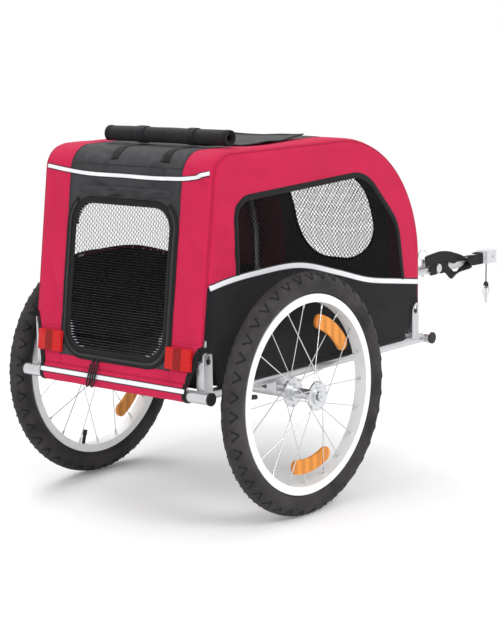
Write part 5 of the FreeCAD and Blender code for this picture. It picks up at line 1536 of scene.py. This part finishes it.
class TRAILER_OT_stage(TrailerOperator, bpy.types.Operator):
    """Pale floor, soft studio light and the camera"""

    bl_idname = "trailer.stage"
    bl_label = "Stage"

    # Name, place and power of each lamp, the width of all of them and the point they aim at.
    lamps = (("key", (-1.2, -4.2, 3.6), 105), ("fill", (-4.4, 0.6, 2.6), 45), ("rim", (1.0, 2.6, 3.8), 60))
    lamp_size, lamp_aim = 2.6, (-0.2, 0, 0.4)
    # The camera: metres ahead of the axle, left and up; lens in millimetres; yaw, pitch and roll in degrees.
    eye, focal, turn = (-2.80985, -2.5224, 1.05111), 99.64, (40.04, 10.18, -0.94)

    def execute(self, context):
        scene = context.scene
        scene.view_settings.view_transform = "Standard"
        mesh = bmesh.new()
        bmesh.ops.create_grid(mesh, x_segments=2, y_segments=2, size=40)
        bmesh.ops.translate(mesh, vec=(0, 0, -0.0005), verts=mesh.verts)
        data = bpy.data.meshes.new("studio_floor")
        mesh.to_mesh(data)
        mesh.free()
        floor = bpy.data.objects.new("studio_floor", data)
        scene.collection.objects.link(floor)
        ground = Finish("studio_floor", {"Roughness": 0.9, "Specular IOR Level": 0.05,
                                         "Emission Strength": 0.06, "Emission Color": WHITE})
        pale = ground.noise(ground.place(), 3.0)
        across, deep, _ = ground.parts(ground.place())
        reach = (across * across + deep * deep).math("SQRT")
        tone = ground.mix(pale, (0.97, 0.97, 0.97, 1), (0.99, 0.99, 0.99, 1))
        data.materials.append(ground.set(base_color=tone, alpha=ground.spread(reach, 1.0, 2.6, 1.0, 0.0)))
        self.world(scene)
        for lamp in self.lamps:
            self.lamp(*lamp)
        self.camera(scene)
        return {"FINISHED"}

    def world(self, scene):
        """Soft white light, and plain white for what the camera, a mirror or glass sees of it."""
        scene.world = scene.world or bpy.data.worlds.new("studio")
        scene.world.use_nodes = True
        sky = Nodes(scene.world.node_tree)
        sky.tree.nodes.clear()
        light, plain = (sky.node("ShaderNodeBackground", {}, {"Color": WHITE, "Strength": strength})
                        for strength in (0.78, 1.0))
        camera, mirror, glass = (sky.node("ShaderNodeLightPath", {}, {}, "Is %s Ray" % kind)
                                 for kind in ("Camera", "Glossy", "Transmission"))
        seen = camera.math("MAXIMUM", mirror).math("MAXIMUM", glass)
        mixed = sky.node("ShaderNodeMixShader", {}, {0: seen, 1: light, 2: plain})
        sky.join(sky.tree.nodes.new("ShaderNodeOutputWorld").inputs["Surface"], mixed)

    def lamp(self, name, where, power):
        data = bpy.data.lights.new(name, "AREA")
        data.shape = "DISK"
        data.size = self.lamp_size
        data.energy = power
        lamp = bpy.data.objects.new(name, data)
        lamp.location = where
        aim = Vector(self.lamp_aim) - Vector(where)
        lamp.rotation_euler = aim.to_track_quat("-Z", "Y").to_euler()
        bpy.context.scene.collection.objects.link(lamp)

    def camera(self, scene):
        data = bpy.data.cameras.new("view")
        data.sensor_width = 36.0
        data.lens = self.focal
        data.clip_start, data.clip_end = 0.1, 100
        cam = bpy.data.objects.new("view", data)
        yaw, pitch, roll = (math.radians(angle) for angle in self.turn)
        ahead = Vector((math.cos(yaw) * math.cos(pitch), math.sin(yaw) * math.cos(pitch), -math.sin(pitch)))
        right = ahead.cross(Vector((0, 0, 1))).normalized()
        up = right.cross(ahead)
        right, up = right * math.cos(roll) + up * math.sin(roll), up * math.cos(roll) - right * math.sin(roll)
        cam.matrix_world = axes(right, up, -ahead, Vector((AXLE_X, 0, 0)) + Vector(self.eye))
        scene.collection.objects.link(cam)
        scene.camera = cam


class TRAILER_PT_panel(bpy.types.Panel):
    """Sizes, colours and the operators of the trailer"""

    bl_idname = "TRAILER_PT_panel"
    bl_label = "Dog trailer"
    bl_space_type = "VIEW_3D"
    bl_region_type = "UI"
    bl_category = "Trailer"

    def draw(self, context):
        for group in (context.scene.trailer_sizes, context.scene.trailer_colours):
            box = self.layout.box()
            for name in group.__annotations__:
                box.prop(group, name)
        for operator in OPERATORS:
            self.layout.operator(operator.bl_idname)


OPERATORS = (
    TRAILER_OT_stage, TRAILER_OT_hitch, TRAILER_OT_tyres, TRAILER_OT_metalwork, TRAILER_OT_sides,
    TRAILER_OT_band, TRAILER_OT_door, TRAILER_OT_strips, TRAILER_OT_reflectors, TRAILER_OT_roof_things,
)
CLASSES = (TrailerSizes, TrailerColours, *OPERATORS, TRAILER_PT_panel)


def register():
    for one in CLASSES:
        bpy.utils.register_class(one)
    bpy.types.Scene.trailer_sizes = PointerProperty(type=TrailerSizes)
    bpy.types.Scene.trailer_colours = PointerProperty(type=TrailerColours)


def unregister():
    del bpy.types.Scene.trailer_colours
    del bpy.types.Scene.trailer_sizes
    for one in reversed(CLASSES):
        bpy.utils.unregister_class(one)


def main():
    register()
    for operator in OPERATORS:
        group, name = operator.bl_idname.split(".")
        getattr(getattr(bpy.ops, group), name)()


if __name__ == "__main__":
    main()
